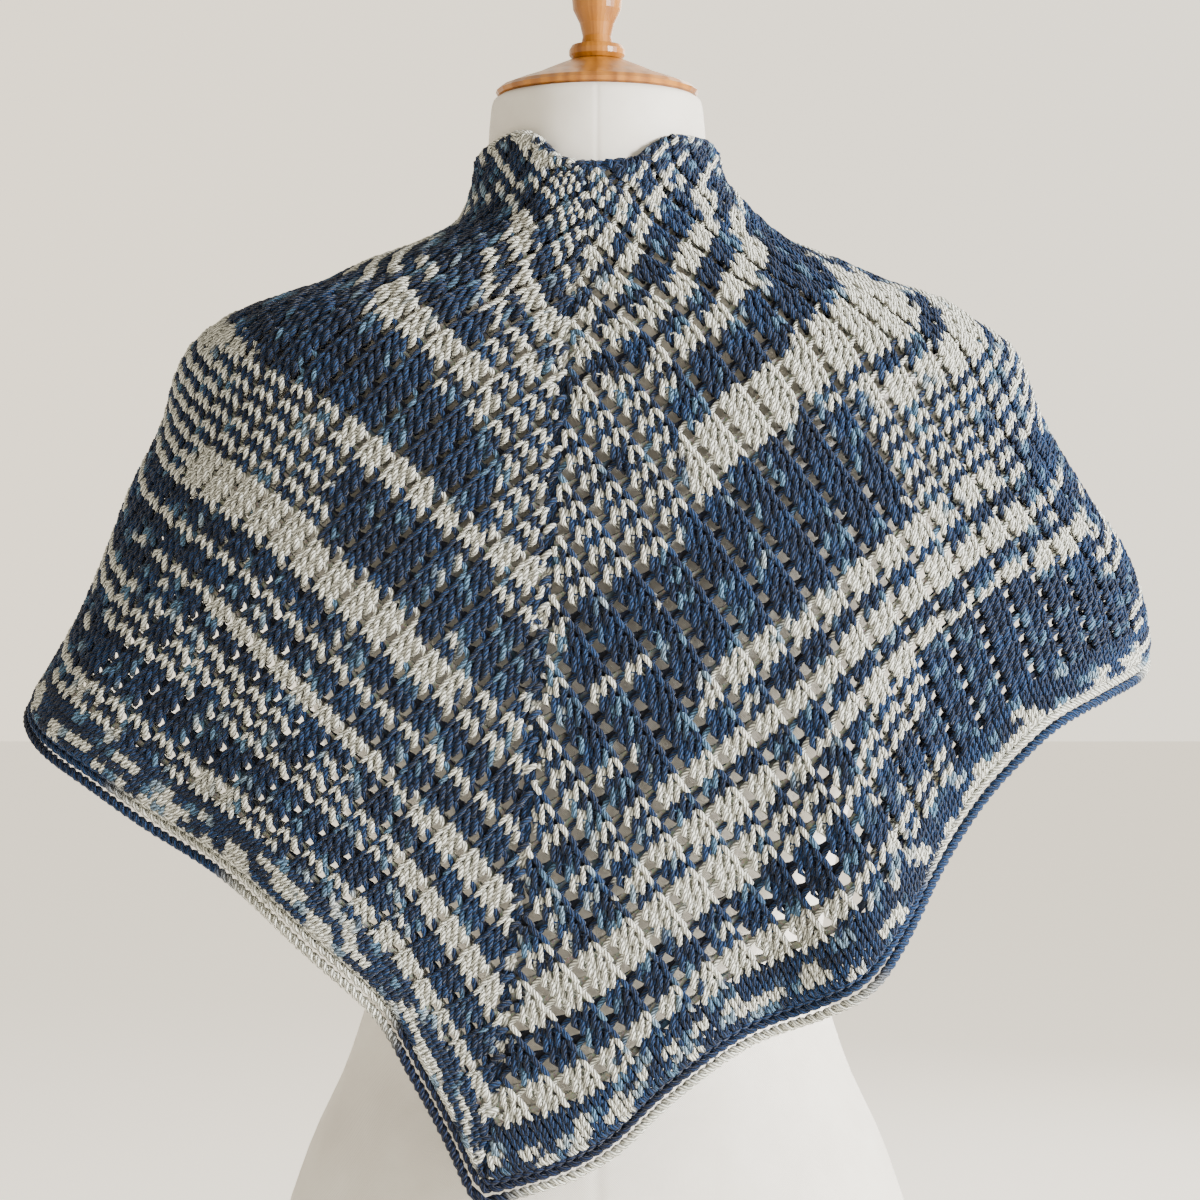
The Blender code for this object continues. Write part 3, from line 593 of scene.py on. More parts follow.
def yarn_colour(half, course, row, along):
    """Colour of the yarn of each course at each place: navy, denim, cream, and pale blue between."""
    distance = along * row * LAST_ROW_LENGTH
    share = cream_share(half, row, along)
    seed = WANDER_SEEDS[half.name]
    slow = slow_noise(course, distance, seed)
    wander = (1.0 - COURSE_WANDER) * slow + COURSE_WANDER * np.mod(course, 2.0)
    place = np.floor(along * row * CELLS_ALONG_HEM * BORDER_STITCHES * PATCHES_PER_STITCH)
    by_stitch = STITCH_WANDER * scatter(place + course * 13.0, seed + 5.0)
    edge = row * ROWS >= ROWS - BORDER_ROWS
    wander = np.where(edge, (1.0 - STITCH_WANDER) * wander + by_stitch, wander)
    cream = ease((share - wander) * CREAM_SHARPNESS + 0.5)
    cream = np.where(share >= 0.99, 1.0, np.where(share <= 0.01, 0.0, cream))
    depth = ease(slow_noise(course, distance, seed + 31.0) * 1.7 - 0.35)
    patch = ease(slow_noise(course * 0.0 + 5.0, distance + row * 0.9, seed + 53.0) * 2.4 - 0.9)
    denim = LEAST_DENIM + (1.0 - LEAST_DENIM) * depth * (DARKEST_PATCH + (1.0 - DARKEST_PATCH) * patch)
    blue = NAVY + (DENIM - NAVY) * denim[..., None]
    lighter = ease((slow_noise(course, distance * 1.7, seed + 71.0) - PALE_FROM) * PALE_RATE)
    blue = blue + (PALE_BLUE - blue) * (PALE_MOST * lighter)[..., None]
    between = (4.0 * cream * (1.0 - cream))[..., None]
    mixed = blue + (CREAM - blue) * cream[..., None]
    return mixed + (PALE_BLUE - mixed) * PALE_BETWEEN * between


# How far each course rises above its row at the spine and drops below it at the side
BEND_ROWS = (0.0, 0.10, 0.25, 0.43, 0.58, 0.72, 0.84, 0.93, 1.0)
SPINE_BENDS = {
    "left": (0.0, -0.024, -0.036, -0.044, -0.044, -0.010, 0.014, 0.004, 0.0),
    "right": (0.0, -0.026, -0.046, -0.040, -0.022, 0.006, 0.006, 0.002, 0.0),
}
SIDE_BENDS = {
    "left": (0.0, 0.036, 0.040, 0.028, 0.018, 0.004, 0.0, 0.0, 0.0),
    "right": (0.0, 0.036, 0.030, 0.010, 0.0, 0.0, -0.004, -0.002, 0.0),
}
SPINE_BEND_REACH = 0.38
SPINE_BEND_POWER = 1.15
SIDE_BEND_FROM = 0.30
SIDE_BEND_SPAN = 0.45
WALE_DRIFT = {"left": 0.012, "right": 0.060}


def bent(half, row, along):
    """Row of the cloth where a course runs, which leaves the straight row near the spine and the side."""
    spine = np.interp(row, BEND_ROWS, SPINE_BENDS[half.name])
    side = np.interp(row, BEND_ROWS, SIDE_BENDS[half.name])
    near = np.clip(1.0 - along / SPINE_BEND_REACH, 0.0, 1.0) ** SPINE_BEND_POWER
    return row + spine * near + side * ease((along - SIDE_BEND_FROM) / SIDE_BEND_SPAN)


def row_place(half, course, across):
    """Row and share of the row for a height counted in courses and a place counted in cells."""
    row = np.clip(course / ROWS, NEAREST_NAPE, 1.0)
    along = 0.5 + (across - WALE_DRIFT[half.name] * course) / (CELLS_ALONG_HEM * row)
    return bent(half, row, along), along


def row_limits(half, course):
    """Where one course starts beside the spine and ends beside the neck edge, in cells."""
    row = np.clip(course / ROWS, NEAREST_NAPE, 1.0)
    reach = 0.5 * CELLS_ALONG_HEM * row
    length = total_length(half.point(row, np.linspace(0.0, 1.0, ROW_SAMPLES)))
    drift = WALE_DRIFT[half.name] * course
    start = drift - reach * (1.0 - 2.0 * SPINE_MARGIN / length)
    end = drift + reach * (1.0 - 2.0 * NECK_MARGIN / length)
    return start, end


def share_limits(half, course):
    """Where one course starts and ends, as shares of its row."""
    reach = 0.5 * CELLS_ALONG_HEM * course / ROWS
    drift = WALE_DRIFT[half.name] * course
    return [0.5 + 0.5 * (limit - drift) / reach for limit in row_limits(half, course)]


# One cell of the mesh, point by point along its yarn: how far across in cells, how high as a
# share of the loop, how far out, and how much of the point belongs to the bar over the gap
CELL = (
    (-0.190, -1.00, -1.00, 0.0),
    (-0.050, -0.66, 0.20, 0.0),
    (-0.100, -0.12, 1.00, 0.0),
    (-0.165, 0.50, 0.55, 0.0),
    (0.000, 1.00, -1.10, 0.0),
    (0.165, 0.42, 0.45, 0.0),
    (0.105, -0.12, 1.00, 0.0),
    (0.050, -0.66, 0.20, 0.0),
    (0.190, -0.92, -0.90, 0.6),
    (0.345, -1.00, -1.00, 1.0),
    (0.500, -0.92, -0.90, 0.6),
    (0.600, -0.66, 0.20, 0.0),
    (0.580, -0.12, 1.00, 0.0),
    (0.550, 0.50, 0.80, 0.0),
    (0.650, 1.00, -1.00, 0.0),
    (0.740, 0.50, -0.30, 0.0),
    (0.710, -0.12, 0.10, 0.0),
    (0.690, -0.66, -0.20, 0.0),
)
CELL_MIDDLE = 4.0

# Shortest path of a course, in points, and how far it then reaches from the nape in cells
FEWEST_POINTS = 6
NAPE_REACH = 0.7

# How the stitches lean, and how the odd courses differ
LEANS = {"left": -0.11, "right": -0.09}
LONE_LEAN = -0.05
LONE_FROM = 0.52
ODD_DEPTH = 0.72
ODD_SHIFT = 0.05

# How uneven the stitches are: across in cells or in stitches of the border, in height and in depth
UNEVEN_ACROSS = 0.03
UNEVEN_CLOSE = 0.06
UNEVEN_HEIGHT = 0.06
UNEVEN_DEPTH = 0.0002


def mesh_course(half, course):
    """Path of the yarn along one course of the open mesh."""
    start, end = row_limits(half, course + 0.5)
    even = course % 2 == 0
    cells = np.repeat(np.arange(math.floor(start) - 1, math.ceil(end) + 2), len(CELL))
    count = len(cells) // len(CELL)
    local = np.tile(np.array(CELL), (count, 1))
    order = np.tile(np.arange(len(CELL)), count)
    lean = LEANS[half.name]
    uneven = scatter(cells * 7.0 + course, 2.0) - 0.5
    lone = local[:, 0] > LONE_FROM
    across = cells + local[:, 0] + (lean + LONE_LEAN * lone) * local[:, 1] + UNEVEN_ACROSS * uneven
    across = across + (0.0 if even else ODD_SHIFT)
    pairing = EVEN_BAR if even else ODD_BAR
    height = course + 0.5 + LOOP_HEIGHT * local[:, 1] + pairing * local[:, 3] + UNEVEN_HEIGHT * uneven
    depth = LOOP_DEPTH * (1.0 if even else ODD_DEPTH) * local[:, 2] + UNEVEN_DEPTH * uneven
    depth = depth + local[:, 3] * (EVEN_BAR_DEPTH if even else ODD_BAR_DEPTH)
    nominal = cells + (order - CELL_MIDDLE) / len(CELL)
    kept = (nominal >= start) & (nominal <= end)
    if kept.sum() < FEWEST_POINTS:
        kept = np.abs(nominal) <= NAPE_REACH
    return course_path(half, course, across[kept], height[kept], depth[kept])


# One close stitch of the border: how far across in stitches, how high and how far out
CLOSE_STITCH = (
    (-0.50, -1.00, -1.00),
    (-0.20, -0.66, 0.30),
    (-0.26, -0.12, 1.00),
    (-0.36, 0.50, 0.70),
    (0.00, 1.00, -1.00),
    (0.36, 0.50, 0.70),
    (0.26, -0.12, 1.00),
    (0.20, -0.66, 0.30),
)
BORDER_LEAN = 0.9


def border_course(half, course):
    """Path of the yarn along one course of the closer border."""
    start, end = row_limits(half, course + 0.5)
    first = math.floor(start * BORDER_STITCHES)
    last = math.ceil(end * BORDER_STITCHES)
    stitches = np.repeat(np.arange(first, last + 1), len(CLOSE_STITCH))
    local = np.tile(np.array(CLOSE_STITCH), (last + 1 - first, 1))
    uneven = scatter(stitches * 5.0 + course, 6.0) - 0.5
    lean = BORDER_LEAN * LEANS[half.name]
    across = (stitches + local[:, 0] + lean * local[:, 1] + UNEVEN_CLOSE * uneven) / BORDER_STITCHES
    height = course + 0.5 + LOOP_HEIGHT * local[:, 1] + UNEVEN_HEIGHT * uneven
    depth = LOOP_DEPTH * local[:, 2]
    kept = (across >= start) & (across <= end)
    return course_path(half, course, across[kept], height[kept], depth[kept])


def course_path(half, course, across, height, depth):
    """Points, outward directions and colours of a course from its local path."""
    row, along = row_place(half, height, across)
    along = np.clip(along, *share_limits(half, course + 0.5))
    row = np.minimum(row, 1.0 - HEM_MARGIN / CLOTH_DEPTH)
    points, out, _, _ = surface_frame(half, row, along)
    points = points + out * (depth + KNIT_LIFT)[:, None]
    level = np.full(len(row), (course + 0.5) / ROWS)
    colour = yarn_colour(half, np.full(len(row), float(course)), bent(half, level, along), along)
    return points, out, colour


# Added to a yarn's outward direction, so that it never lies exactly along the yarn
OUT_NUDGE = 0.001


def tube_mesh(name, paths, radius, sides):
    """One mesh of round yarns through many paths, with the tint and the lie of the yarn stored on it."""
    vertices = []
    tints = []
    loops = []
    sizes = []
    maps = []
    base = 0
    ring = 2.0 * math.pi * np.arange(sides) / sides
    turned = (np.cos(ring)[None, :, None], np.sin(ring)[None, :, None])
    for points, out, colour in paths:
        count = len(points)
        ahead = unit(np.gradient(points, axis=0))
        side = unit(np.cross(ahead, out + OUT_NUDGE))
        up = np.cross(side, ahead)
        wheel = turned[0] * side[:, None, :] + turned[1] * up[:, None, :]
        vertices.append((points[:, None, :] + radius * wheel).reshape(-1, 3))
        tints.append(np.repeat(colour, sides, axis=0))
        length = lengths_along(points)
        first = np.arange(count - 1)[:, None] * sides
        here = np.arange(sides)[None, :]
        after = (here + 1) % sides
        quads = np.stack((
            first + here, first + after, first + sides + after, first + sides + here,
        ), axis=-1)
        loops.append(base + quads.reshape(-1))
        sizes.append(np.full((count - 1) * sides, 4))
        start = np.broadcast_to(length[:-1, None], (count - 1, sides))
        end = np.broadcast_to(length[1:, None], (count - 1, sides))
        near = np.broadcast_to(here / sides, (count - 1, sides))
        far = np.broadcast_to((here + 1) / sides, (count - 1, sides))
        corner = np.stack((
            np.stack((start, near), axis=-1), np.stack((start, far), axis=-1),
            np.stack((end, far), axis=-1), np.stack((end, near), axis=-1),
        ), axis=2)
        maps.append(corner.reshape(-1, 2))
        for cap in (np.arange(sides)[::-1], (count - 1) * sides + np.arange(sides)):
            loops.append(base + cap)
            sizes.append(np.array([sides]))
            maps.append(np.zeros((sides, 2)))
        base += count * sides
    return array_mesh(name, np.concatenate(vertices), np.concatenate(loops), np.concatenate(sizes),
                      np.concatenate(tints), np.concatenate(maps))


def array_mesh(name, vertices, loops, sizes, tints, maps):
    """Mesh object from arrays of corners, faces, tints and map coordinates."""
    mesh = bpy.data.meshes.new(name)
    mesh.vertices.add(len(vertices))
    mesh.vertices.foreach_set("co", vertices.astype(np.float32).ravel())
    mesh.loops.add(len(loops))
    mesh.loops.foreach_set("vertex_index", loops.astype(np.int32))
    mesh.polygons.add(len(sizes))
    starts = np.concatenate(([0], np.cumsum(sizes)[:-1]))
    mesh.polygons.foreach_set("loop_start", starts.astype(np.int32))
    mesh.update(calc_edges=True)
    tint = mesh.color_attributes.new("tint", "FLOAT_COLOR", "POINT")
    full = np.concatenate((tints, np.ones((len(tints), 1))), axis=1)
    tint.data.foreach_set("color", full.astype(np.float32).ravel())
    lie = mesh.uv_layers.new(name="lie")
    lie.data.foreach_set("uv", maps.astype(np.float32).ravel())
    mesh.shade_smooth()
    return shown(name, mesh)


def shown(name, data):
    """Object in the scene that shows a mesh, a lamp or a camera."""
    made = bpy.data.objects.new(name, data)
    bpy.context.scene.collection.objects.link(made)
    return made


def plain_mesh(name, points, faces):
    """Mesh object from its points and faces."""
    mesh = bpy.data.meshes.new(name)
    mesh.from_pydata(points, [], faces)
    return shown(name, mesh)


# One V of a chain, as parts of its half width, its pitch and its depth
CHAIN_LINK = (
    (-0.20, 0.00, -0.60),
    (-0.62, 0.36, 0.70),
    (-1.00, 0.80, 0.75),
    (-0.86, 1.18, -0.20),
    (0.00, 1.42, -0.85),
    (0.86, 1.18, -0.20),
    (1.00, 0.80, 0.75),
    (0.62, 0.36, 0.70),
    (0.20, 0.00, -0.60),
    (0.00, 0.40, -1.25),
)
CHAIN_SAMPLES = 15
CHAIN_FRAMES = 60

# Chains of V stitches: the pitch of a link, half its width and its depth
SPINE_CHAIN = (0.0060, 0.0015, 0.0009)
HEM_CHAIN = (0.0054, 0.0021, 0.0014)
NECK_CHAIN = (0.0052, 0.0015, 0.0012)
SPINE_CHAIN_SUNK = 0.0012
NECK_CHAIN_RADIUS = 0.00125
CHAIN_SIDES = 6

# Rope of two strands inside the hem chain
ROPE_PITCH = 0.0090
ROPE_RADIUS = 0.0012
ROPE_OFFSET = -0.0064
ROPE_LIFT = -0.0002
ROPE_STEP = 0.0016
STRAND_RADIUS = 0.0015


def chain_local(links):
    """Path of a chain stitch along its own length, counted in links."""
    shape = np.array(CHAIN_LINK)
    count = len(shape)
    steps = np.arange(links * count + 1)
    points = shape[steps % count]
    points[:, 1] += steps // count
    fine = np.linspace(0.0, links * count, links * CHAIN_SAMPLES + 1)
    low = np.clip(np.floor(fine).astype(int), 0, len(points) - 2)
    part = (fine - low)[:, None]
    padded = np.concatenate((points[:1] - (points[1:2] - points[:1]), points, points[-1:]))
    before, here, there, beyond = (padded[low + shift] for shift in range(4))
    return 0.5 * (
        2.0 * here + (there - before) * part
        + (2.0 * before - 5.0 * here + 4.0 * there - beyond) * part ** 2
        + (3.0 * here - before - 3.0 * there + beyond) * part ** 3
    )


def read_rows(at, places, rows):
    """Rows of three numbers, read between the places where they are given."""
    return np.stack([np.interp(at, places, rows[:, axis]) for axis in range(3)], axis=1)


def along_line(line, out, count):
    """Even points on a line, four for each one counted, their directions out and aside, and its length."""
    length = lengths_along(line)
    places = np.linspace(0.0, 1.0, 4 * count + 1) * length[-1]
    even = read_rows(places, length, line)
    up = unit(read_rows(places, length, out))
    side = unit(np.cross(up, unit(np.gradient(even, axis=0))))
    return even, up, side, length[-1]


def chain_path(line, out, sizes, colour_at):
    """Yarn path of a chain of V stitches laid along a line on the cloth."""
    pitch, half_width, depth = sizes
    even, up, side, total = along_line(line, out, CHAIN_FRAMES)
    links = max(int(total / pitch), 2)
    local = chain_local(links)
    share = np.clip(local[:, 1] / links, 0.0, 1.0)
    places = share * (len(even) - 1)
    grid = np.arange(len(even))
    middle, up, side = (read_rows(places, grid, rows) for rows in (even, up, side))
    up = unit(up)
    points = middle + unit(side) * (local[:, :1] * half_width) + up * (local[:, 2:] * depth)
    return points, up, colour_at(share)


def rope_path(line, out, turn, colour_at):
    """One strand of a rope of two that runs beside a line on the cloth, starting at the given turn."""
    even, up, side, total = along_line(line, out, int(total_length(line) / ROPE_STEP / 4))
    angle = (np.linspace(0.0, total / ROPE_PITCH, len(even)) + turn)[:, None] * 2.0 * math.pi
    aside = side * (ROPE_OFFSET + ROPE_RADIUS * np.cos(angle))
    points = even + aside + up * (ROPE_LIFT + ROPE_RADIUS * np.sin(angle))
    return points, up, colour_at(np.linspace(0.0, 1.0, len(even)))


# Colours of the edges: how much lighter their navy is, and how their shade wanders
EDGE_NAVY_GAIN = 1.6
EDGE_SHADE_LEAST = 0.85
EDGE_SHADE_RANGE = 0.3
EDGE_LENGTH = 1.6


def coloured(table):
    """Colours along an edge from a short table of places and names."""
    named = {"navy": NAVY * EDGE_NAVY_GAIN, "denim": DENIM, "cream": CREAM, "pale": PALE_BLUE}
    places = [place for place, _ in table]
    tints = np.array([named[name] for _, name in table])

    def colour_at(share):
        noise = slow_noise(np.zeros(len(share)), share * EDGE_LENGTH, 5.0)
        shade = EDGE_SHADE_LEAST + EDGE_SHADE_RANGE * noise
        return read_rows(share, places, tints) * shade[:, None]

    return colour_at


# Spine: its first place and its length as shares of the rows, how many courses one link of its
# chain covers, and how often a link is cream where the yarn beside it is
SPINE_FROM = 0.02
SPINE_SPAN = 0.96
COURSES_PER_LINK = 1.1
LINK_CREAM = 0.75

# Bars across the spine: half their length, their height, how far their ends dip and sag, and
# how often they are cream
BAR_CREAM = 0.65
BAR_CREAM_ANYWHERE = 0.12
BAR_CREAM_SHADE = 0.9
BAR_REACH = 0.0030
BAR_LIFT = 0.0022
BAR_DIP = 0.0034
BAR_SAG = 0.0006
BAR_SAMPLES = 7


def flecked(half):
    """Colours down the spine, changing from link to link as its rows do."""

    def colour_at(share):
        row = SPINE_FROM + SPINE_SPAN * share
        course = np.floor(row * ROWS / COURSES_PER_LINK)
        cream = (scatter(course, 4.0) < LINK_CREAM * cream_share(half, row, row * 0.0)).astype(float)
        blue = NAVY + (DENIM - NAVY) * (0.3 + 0.5 * scatter(course, 9.0))[:, None]
        return blue + (CREAM - blue) * cream[:, None]

    return colour_at


def spine_bars(half):
    """Short bars across the spine, one in every second course."""
    paths = []
    steps = np.linspace(-1.0, 1.0, BAR_SAMPLES)[:, None]
    for course in range(3, ROWS - 3, 2):
        row = (course + 0.5) / ROWS
        middle, out, across, down = surface_frame(half, row, 0.0)
        points = middle + across * BAR_REACH * steps + out * (BAR_LIFT - BAR_DIP * steps ** 4)
        points = points + down * BAR_SAG * steps ** 2
        likely = BAR_CREAM * float(cream_share(half, row, 0.0)) + BAR_CREAM_ANYWHERE
        cream = scatter(course, 17.0) < likely
        tint = CREAM * BAR_CREAM_SHADE if cream else NAVY + (DENIM - NAVY) * scatter(course, 21.0)
        paths.append((points, np.tile(out, (BAR_SAMPLES, 1)), np.tile(tint, (BAR_SAMPLES, 1))))
    return paths


def edge_line(half, edge, inset, count):
    """Line beside the hem, the neck edge or the spine of one half, with its outward directions."""
    share = np.linspace(0.0, 1.0, count)
    if edge == "hem":
        rows = 1.0 - half.inset("hem", share, inset)
        along = share
    elif edge == "neck":
        rows = share * (1.0 - float(half.inset("hem", 1.0, 2.0 * HEM_CORD_RADIUS)))
        rows = np.maximum(rows, NEAREST_NAPE)
        along = 1.0 - half.inset("neck", rows, inset)
    else:
        last = float(half.inset("hem", 0.0, 2.0 * HEM_CORD_RADIUS))
        rows = SPINE_FROM + share * (1.0 - SPINE_FROM - last)
        along = share * 0.0
    return surface_frame(half, rows, along)[:2]


def whole_edge(left, right, edge, inset, count):
    """Line along an edge from the left wing tip to the right one, with its outward directions."""
    lines = [edge_line(half, edge, inset, count) for half in (left, right)]
    return [np.concatenate((first[::-1], second[1:])) for first, second in zip(*lines)]


# Lines of the dark net behind the yarn, which paints the shade between the yarns: where they are in a
# cell and in a pair of courses, and whether the net is solid from each to the next one; the wales
# drift, so it has spare cells
NET_COLUMNS = ((-0.45, True), (-0.14, True), (0.19, False), (0.47, False))
NET_ROWS = ((0.0, True), (0.55, False), (1.20, False), (1.85, True))
NET_SPARE_CELLS = 6
NET_ENDS = 2.2
NET_SUNK = 0.0006
# How far the net's tint is darkened from the yarn's, deep colours the most: painted shade
NET_SHADE = 0.5
NET_CONTRAST = 1.3


def painted_shade_sheet(half):
    """Thin dark net behind the yarn of one half, painted shade between the yarns, with its gaps cut where
    the mesh is open.
    """
    cells = range(-CELLS_ALONG_HEM // 2, CELLS_ALONG_HEM // 2 + NET_SPARE_CELLS)
    across, ridges = zip(*((cell + part, solid) for cell in cells for part, solid in NET_COLUMNS))
    courses = [(2.0 * pair + part, solid) for pair in range(ROWS // 2) for part, solid in NET_ROWS]
    heights, bars = zip(*(line for line in courses if FIRST_MESH_ROW <= line[0] <= ROWS - NET_ENDS))
    heights = np.array(heights)
    _, along = row_place(half, heights[:, None], np.array(across)[None, :])
    limits = np.array([share_limits(half, height) for height in heights])
    held = np.clip(along, limits[:, :1], limits[:, 1:])
    row = bent(half, np.clip(heights / ROWS, NEAREST_NAPE, 1.0)[:, None] + 0.0 * held, held)
    points, out, _, _ = surface_frame(half, row, held)
    points = points + out * (KNIT_LIFT - NET_SUNK)
    colour = yarn_colour(half, np.floor(heights)[:, None] + 0.0 * held, row, held)
    # The yarn's colour darkened, as painted shade between the yarns
    colour = colour ** NET_CONTRAST * NET_SHADE
    width = len(across)
    faces = []
    for level in range(len(heights) - 1):
        dense = heights[level] >= ROWS - BORDER_ROWS
        for step in range(width - 1):
            if not (bars[level] or ridges[step] or dense):
                continue
            corners = (held[level, step:step + 2], held[level + 1, step:step + 2])
            if min(np.ptp(corners[0]), np.ptp(corners[1])) <= 0.0:
                continue
            base = level * width + step
            face = (base, base + 1, base + width + 1, base + width)
            faces.append(face if half.name == "left" else face[::-1])
    faces = np.array(faces)
    used, renamed = np.unique(faces, return_inverse=True)
    return array_mesh(
        half.name + "_painted_shade_net", points.reshape(-1, 3)[used], renamed.reshape(-1),
        np.full(len(faces), 4), colour.reshape(-1, 3)[used], np.zeros((faces.size, 2)),
    )


class Tree:
    """Nodes of a material or of the world, with short ways to add and to join them."""

    def __init__(self, owner, end):
        owner.use_nodes = True
        self.nodes = owner.node_tree.nodes
        self.links = owner.node_tree.links
        self.end = self.nodes[end]

    def join(self, node, values):
        """Set inputs of a node to numbers or colours, or link them to other nodes or their sockets."""
        for name, value in values.items():
            if isinstance(value, bpy.types.Node):
                value = value.outputs[0]
            if isinstance(value, bpy.types.NodeSocket):
                self.links.new(value, node.inputs[name])
            else:
                node.inputs[name].default_value = value

    def add(self, kind, values=None, **settings):
        """New node with its settings and its inputs."""
        made = self.nodes.new("ShaderNode" + kind)
        for name, value in settings.items():
            setattr(made, name, value)
        self.join(made, values or {})
        return made

    def math(self, operation, *values):
        """Math node on nodes, sockets or numbers."""
        return self.add("Math", dict(enumerate(values)), operation=operation)

    def parts(self, vector):
        """The three numbers of a vector."""
        return self.add("SeparateXYZ", {0: vector}).outputs

    def eased(self, value, given, wanted):
        """Value carried smoothly from one range to another."""
        made = self.add("MapRange", {"Value": value}, interpolation_type="SMOOTHSTEP")
        self.join(made, dict(zip(("From Min", "From Max", "To Min", "To Max"), given + wanted)))
        return made

    def ramp(self, value, *stops):
        """Colours between two places of a value."""
        made = self.add("ValToRGB", {0: value})
        for element, (place, colour) in zip(made.color_ramp.elements, stops):
            element.position = place
            element.color = colour + (1.0,)
        return made

    def multiplied(self, first, second, factor):
        """Colour multiplied by another one."""
        values = {"Factor": factor, "A": first, "B": second}
        return self.add("Mix", values, data_type="RGBA", blend_type="MULTIPLY").outputs["Result"]

    def bump(self, height, strength, distance):
        """Relief from a height."""
        return self.add("Bump", {"Height": height, "Strength": strength, "Distance": distance})


def new_material(name):
    """Material, its node tree and the place on the object that its textures follow."""
    made = bpy.data.materials.new(name)
    tree = Tree(made, "Principled BSDF")
    return made, tree, tree.add("TexCoord").outputs["Object"]


# Yarn: the length of one turn of its ply in metres, and its plies
PLY_TURN = 0.0125
PLIES = 5.0


def yarn_material():
    """Plied wool: twisted plies with painted highlight and shade across them, short fuzz and the tint
    stored on the mesh.
    """
    made, tree, place = new_material("plied_wool")
    lie = tree.parts(tree.add("UVMap", uv_map="lie"))
    spiral = tree.math("ADD", tree.math("MULTIPLY", lie[0], 1.0 / PLY_TURN), lie[1])
    wave = tree.math("SINE", tree.math("MULTIPLY", spiral, 2.0 * math.pi * PLIES))
    ply = tree.math("MULTIPLY_ADD", wave, 0.5, 0.5)
    fuzz = tree.add("TexNoise", {"Vector": place, "Scale": 1900.0, "Detail": 3.0})
    patch = tree.add("TexNoise", {"Vector": place, "Scale": 240.0, "Detail": 2.0})
    # Tint lightened on the crests of the plies and darkened in their grooves: painted highlight and shade
    shade = tree.math("MULTIPLY_ADD", ply, 1.0, 0.34)
    grain = tree.math("MULTIPLY_ADD", patch, 0.5, 0.75)
    strength = tree.math("MULTIPLY", shade, grain)
    relief = tree.math("MULTIPLY_ADD", fuzz, 0.5, ply)
    tree.join(tree.end, {
        "Base Color": tree.multiplied(tree.add("VertexColor", layer_name="tint"), strength, 1.0),
        "Normal": tree.bump(relief, 1.0, 0.0007),
        "Roughness": 0.82,
        "Specular IOR Level": 0.25,
        "Sheen Weight": 0.10,
        "Sheen Roughness": 0.45,
    })
    return made


def painted_shade_material():
    """Painted shade behind the stitches: a backing in the yarn's own darkened tint."""
    made, tree, place = new_material("stitch_painted_shade")
    fuzz = tree.add("TexNoise", {"Vector": place, "Scale": 900.0})
    tint = tree.add("VertexColor", layer_name="tint")
    tree.join(tree.end, {
        "Base Color": tree.multiplied(tint, fuzz.outputs["Color"], 0.7),
        "Normal": tree.bump(fuzz, 1.0, 0.0006),
        "Roughness": 0.95,
    })
    return made


# Jersey of the form's cover: ribs in a full turn and courses in two pi metres
JERSEY_RIBS = 620.0
JERSEY_COURSES = 6200.0


def cover_material():
    """Off-white jersey drawn smooth over the form, with fine ribs and courses."""
    made, tree, place = new_material("form_jersey")
    across, deep, height = tree.parts(place)
    angle = tree.math("ARCTAN2", deep, across)
    ribs = tree.math("SINE", tree.math("MULTIPLY", angle, JERSEY_RIBS))
    courses = tree.math("SINE", tree.math("MULTIPLY", height, JERSEY_COURSES))
    stitch = tree.math("MULTIPLY", ribs, courses)
    mottle = tree.add("TexNoise", {"Vector": place, "Scale": 38.0, "Detail": 5.0})
    tree.join(tree.end, {
        "Base Color": tree.ramp(mottle, (0.30, (0.700, 0.670, 0.610)), (0.75, (0.790, 0.765, 0.710))),
        "Normal": tree.bump(stitch, 0.35, 0.0003),
        "Roughness": 0.86,
        "Sheen Weight": 0.25,
        "Sheen Roughness": 0.4,
    })
    return made


def wood_material():
    """Honey-coloured turned beech under satin varnish, its grain drawn out along the height."""
    made, tree, place = new_material("turned_beech")
    stretched = tree.add("Mapping", {"Vector": place, "Scale": (1.0, 1.0, 0.13)})
    flow = tree.add("TexNoise", {"Vector": stretched, "Scale": 45.0, "Detail": 3.0})
    grain = tree.add("TexWave", {"Vector": stretched, "Scale": 38.0, "Distortion": 6.0, "Detail": 3.0})
    fleck = tree.add("TexNoise", {"Vector": stretched, "Scale": 520.0})
    both = tree.math("MULTIPLY_ADD", grain.outputs["Fac"], 0.45, flow)
    total = tree.math("MULTIPLY_ADD", fleck, 0.22, both)
    tree.join(tree.end, {
        "Base Color": tree.ramp(total, (0.35, (0.170, 0.052, 0.005)), (1.0, (0.380, 0.145, 0.016))),
        "Normal": tree.bump(total, 0.12, 0.0003),
        "Roughness": 0.36,
        "Specular IOR Level": 0.30,
        "Coat Weight": 0.12,
        "Coat Roughness": 0.18,
    })
    return made


# Colours of the edges from the left wing tip to the right one, round the point or past the nape
HEM_CHAIN_TINTS = (
    (0.00, "denim"), (0.10, "denim"), (0.12, "cream"), (0.17, "cream"), (0.19, "denim"), (0.30, "denim"),
    (0.315, "cream"), (0.345, "cream"), (0.36, "cream"), (0.41, "cream"), (0.42, "navy"), (0.53, "navy"),
    (0.60, "denim"), (0.63, "denim"), (0.645, "cream"), (0.74, "cream"), (0.75, "pale"), (0.77, "denim"),
    (0.80, "denim"), (0.81, "cream"), (0.88, "cream"), (0.90, "denim"), (1.00, "denim"),
)
HEM_STRAND_TINTS = (
    (0.00, "denim"), (0.22, "denim"), (0.24, "navy"), (0.345, "denim"), (0.36, "cream"), (0.41, "cream"),
    (0.425, "navy"), (0.475, "navy"), (0.485, "cream"), (0.59, "cream"), (0.605, "denim"), (0.74, "denim"),
    (0.75, "cream"), (0.78, "denim"), (0.84, "cream"), (0.90, "denim"), (1.00, "denim"),
)
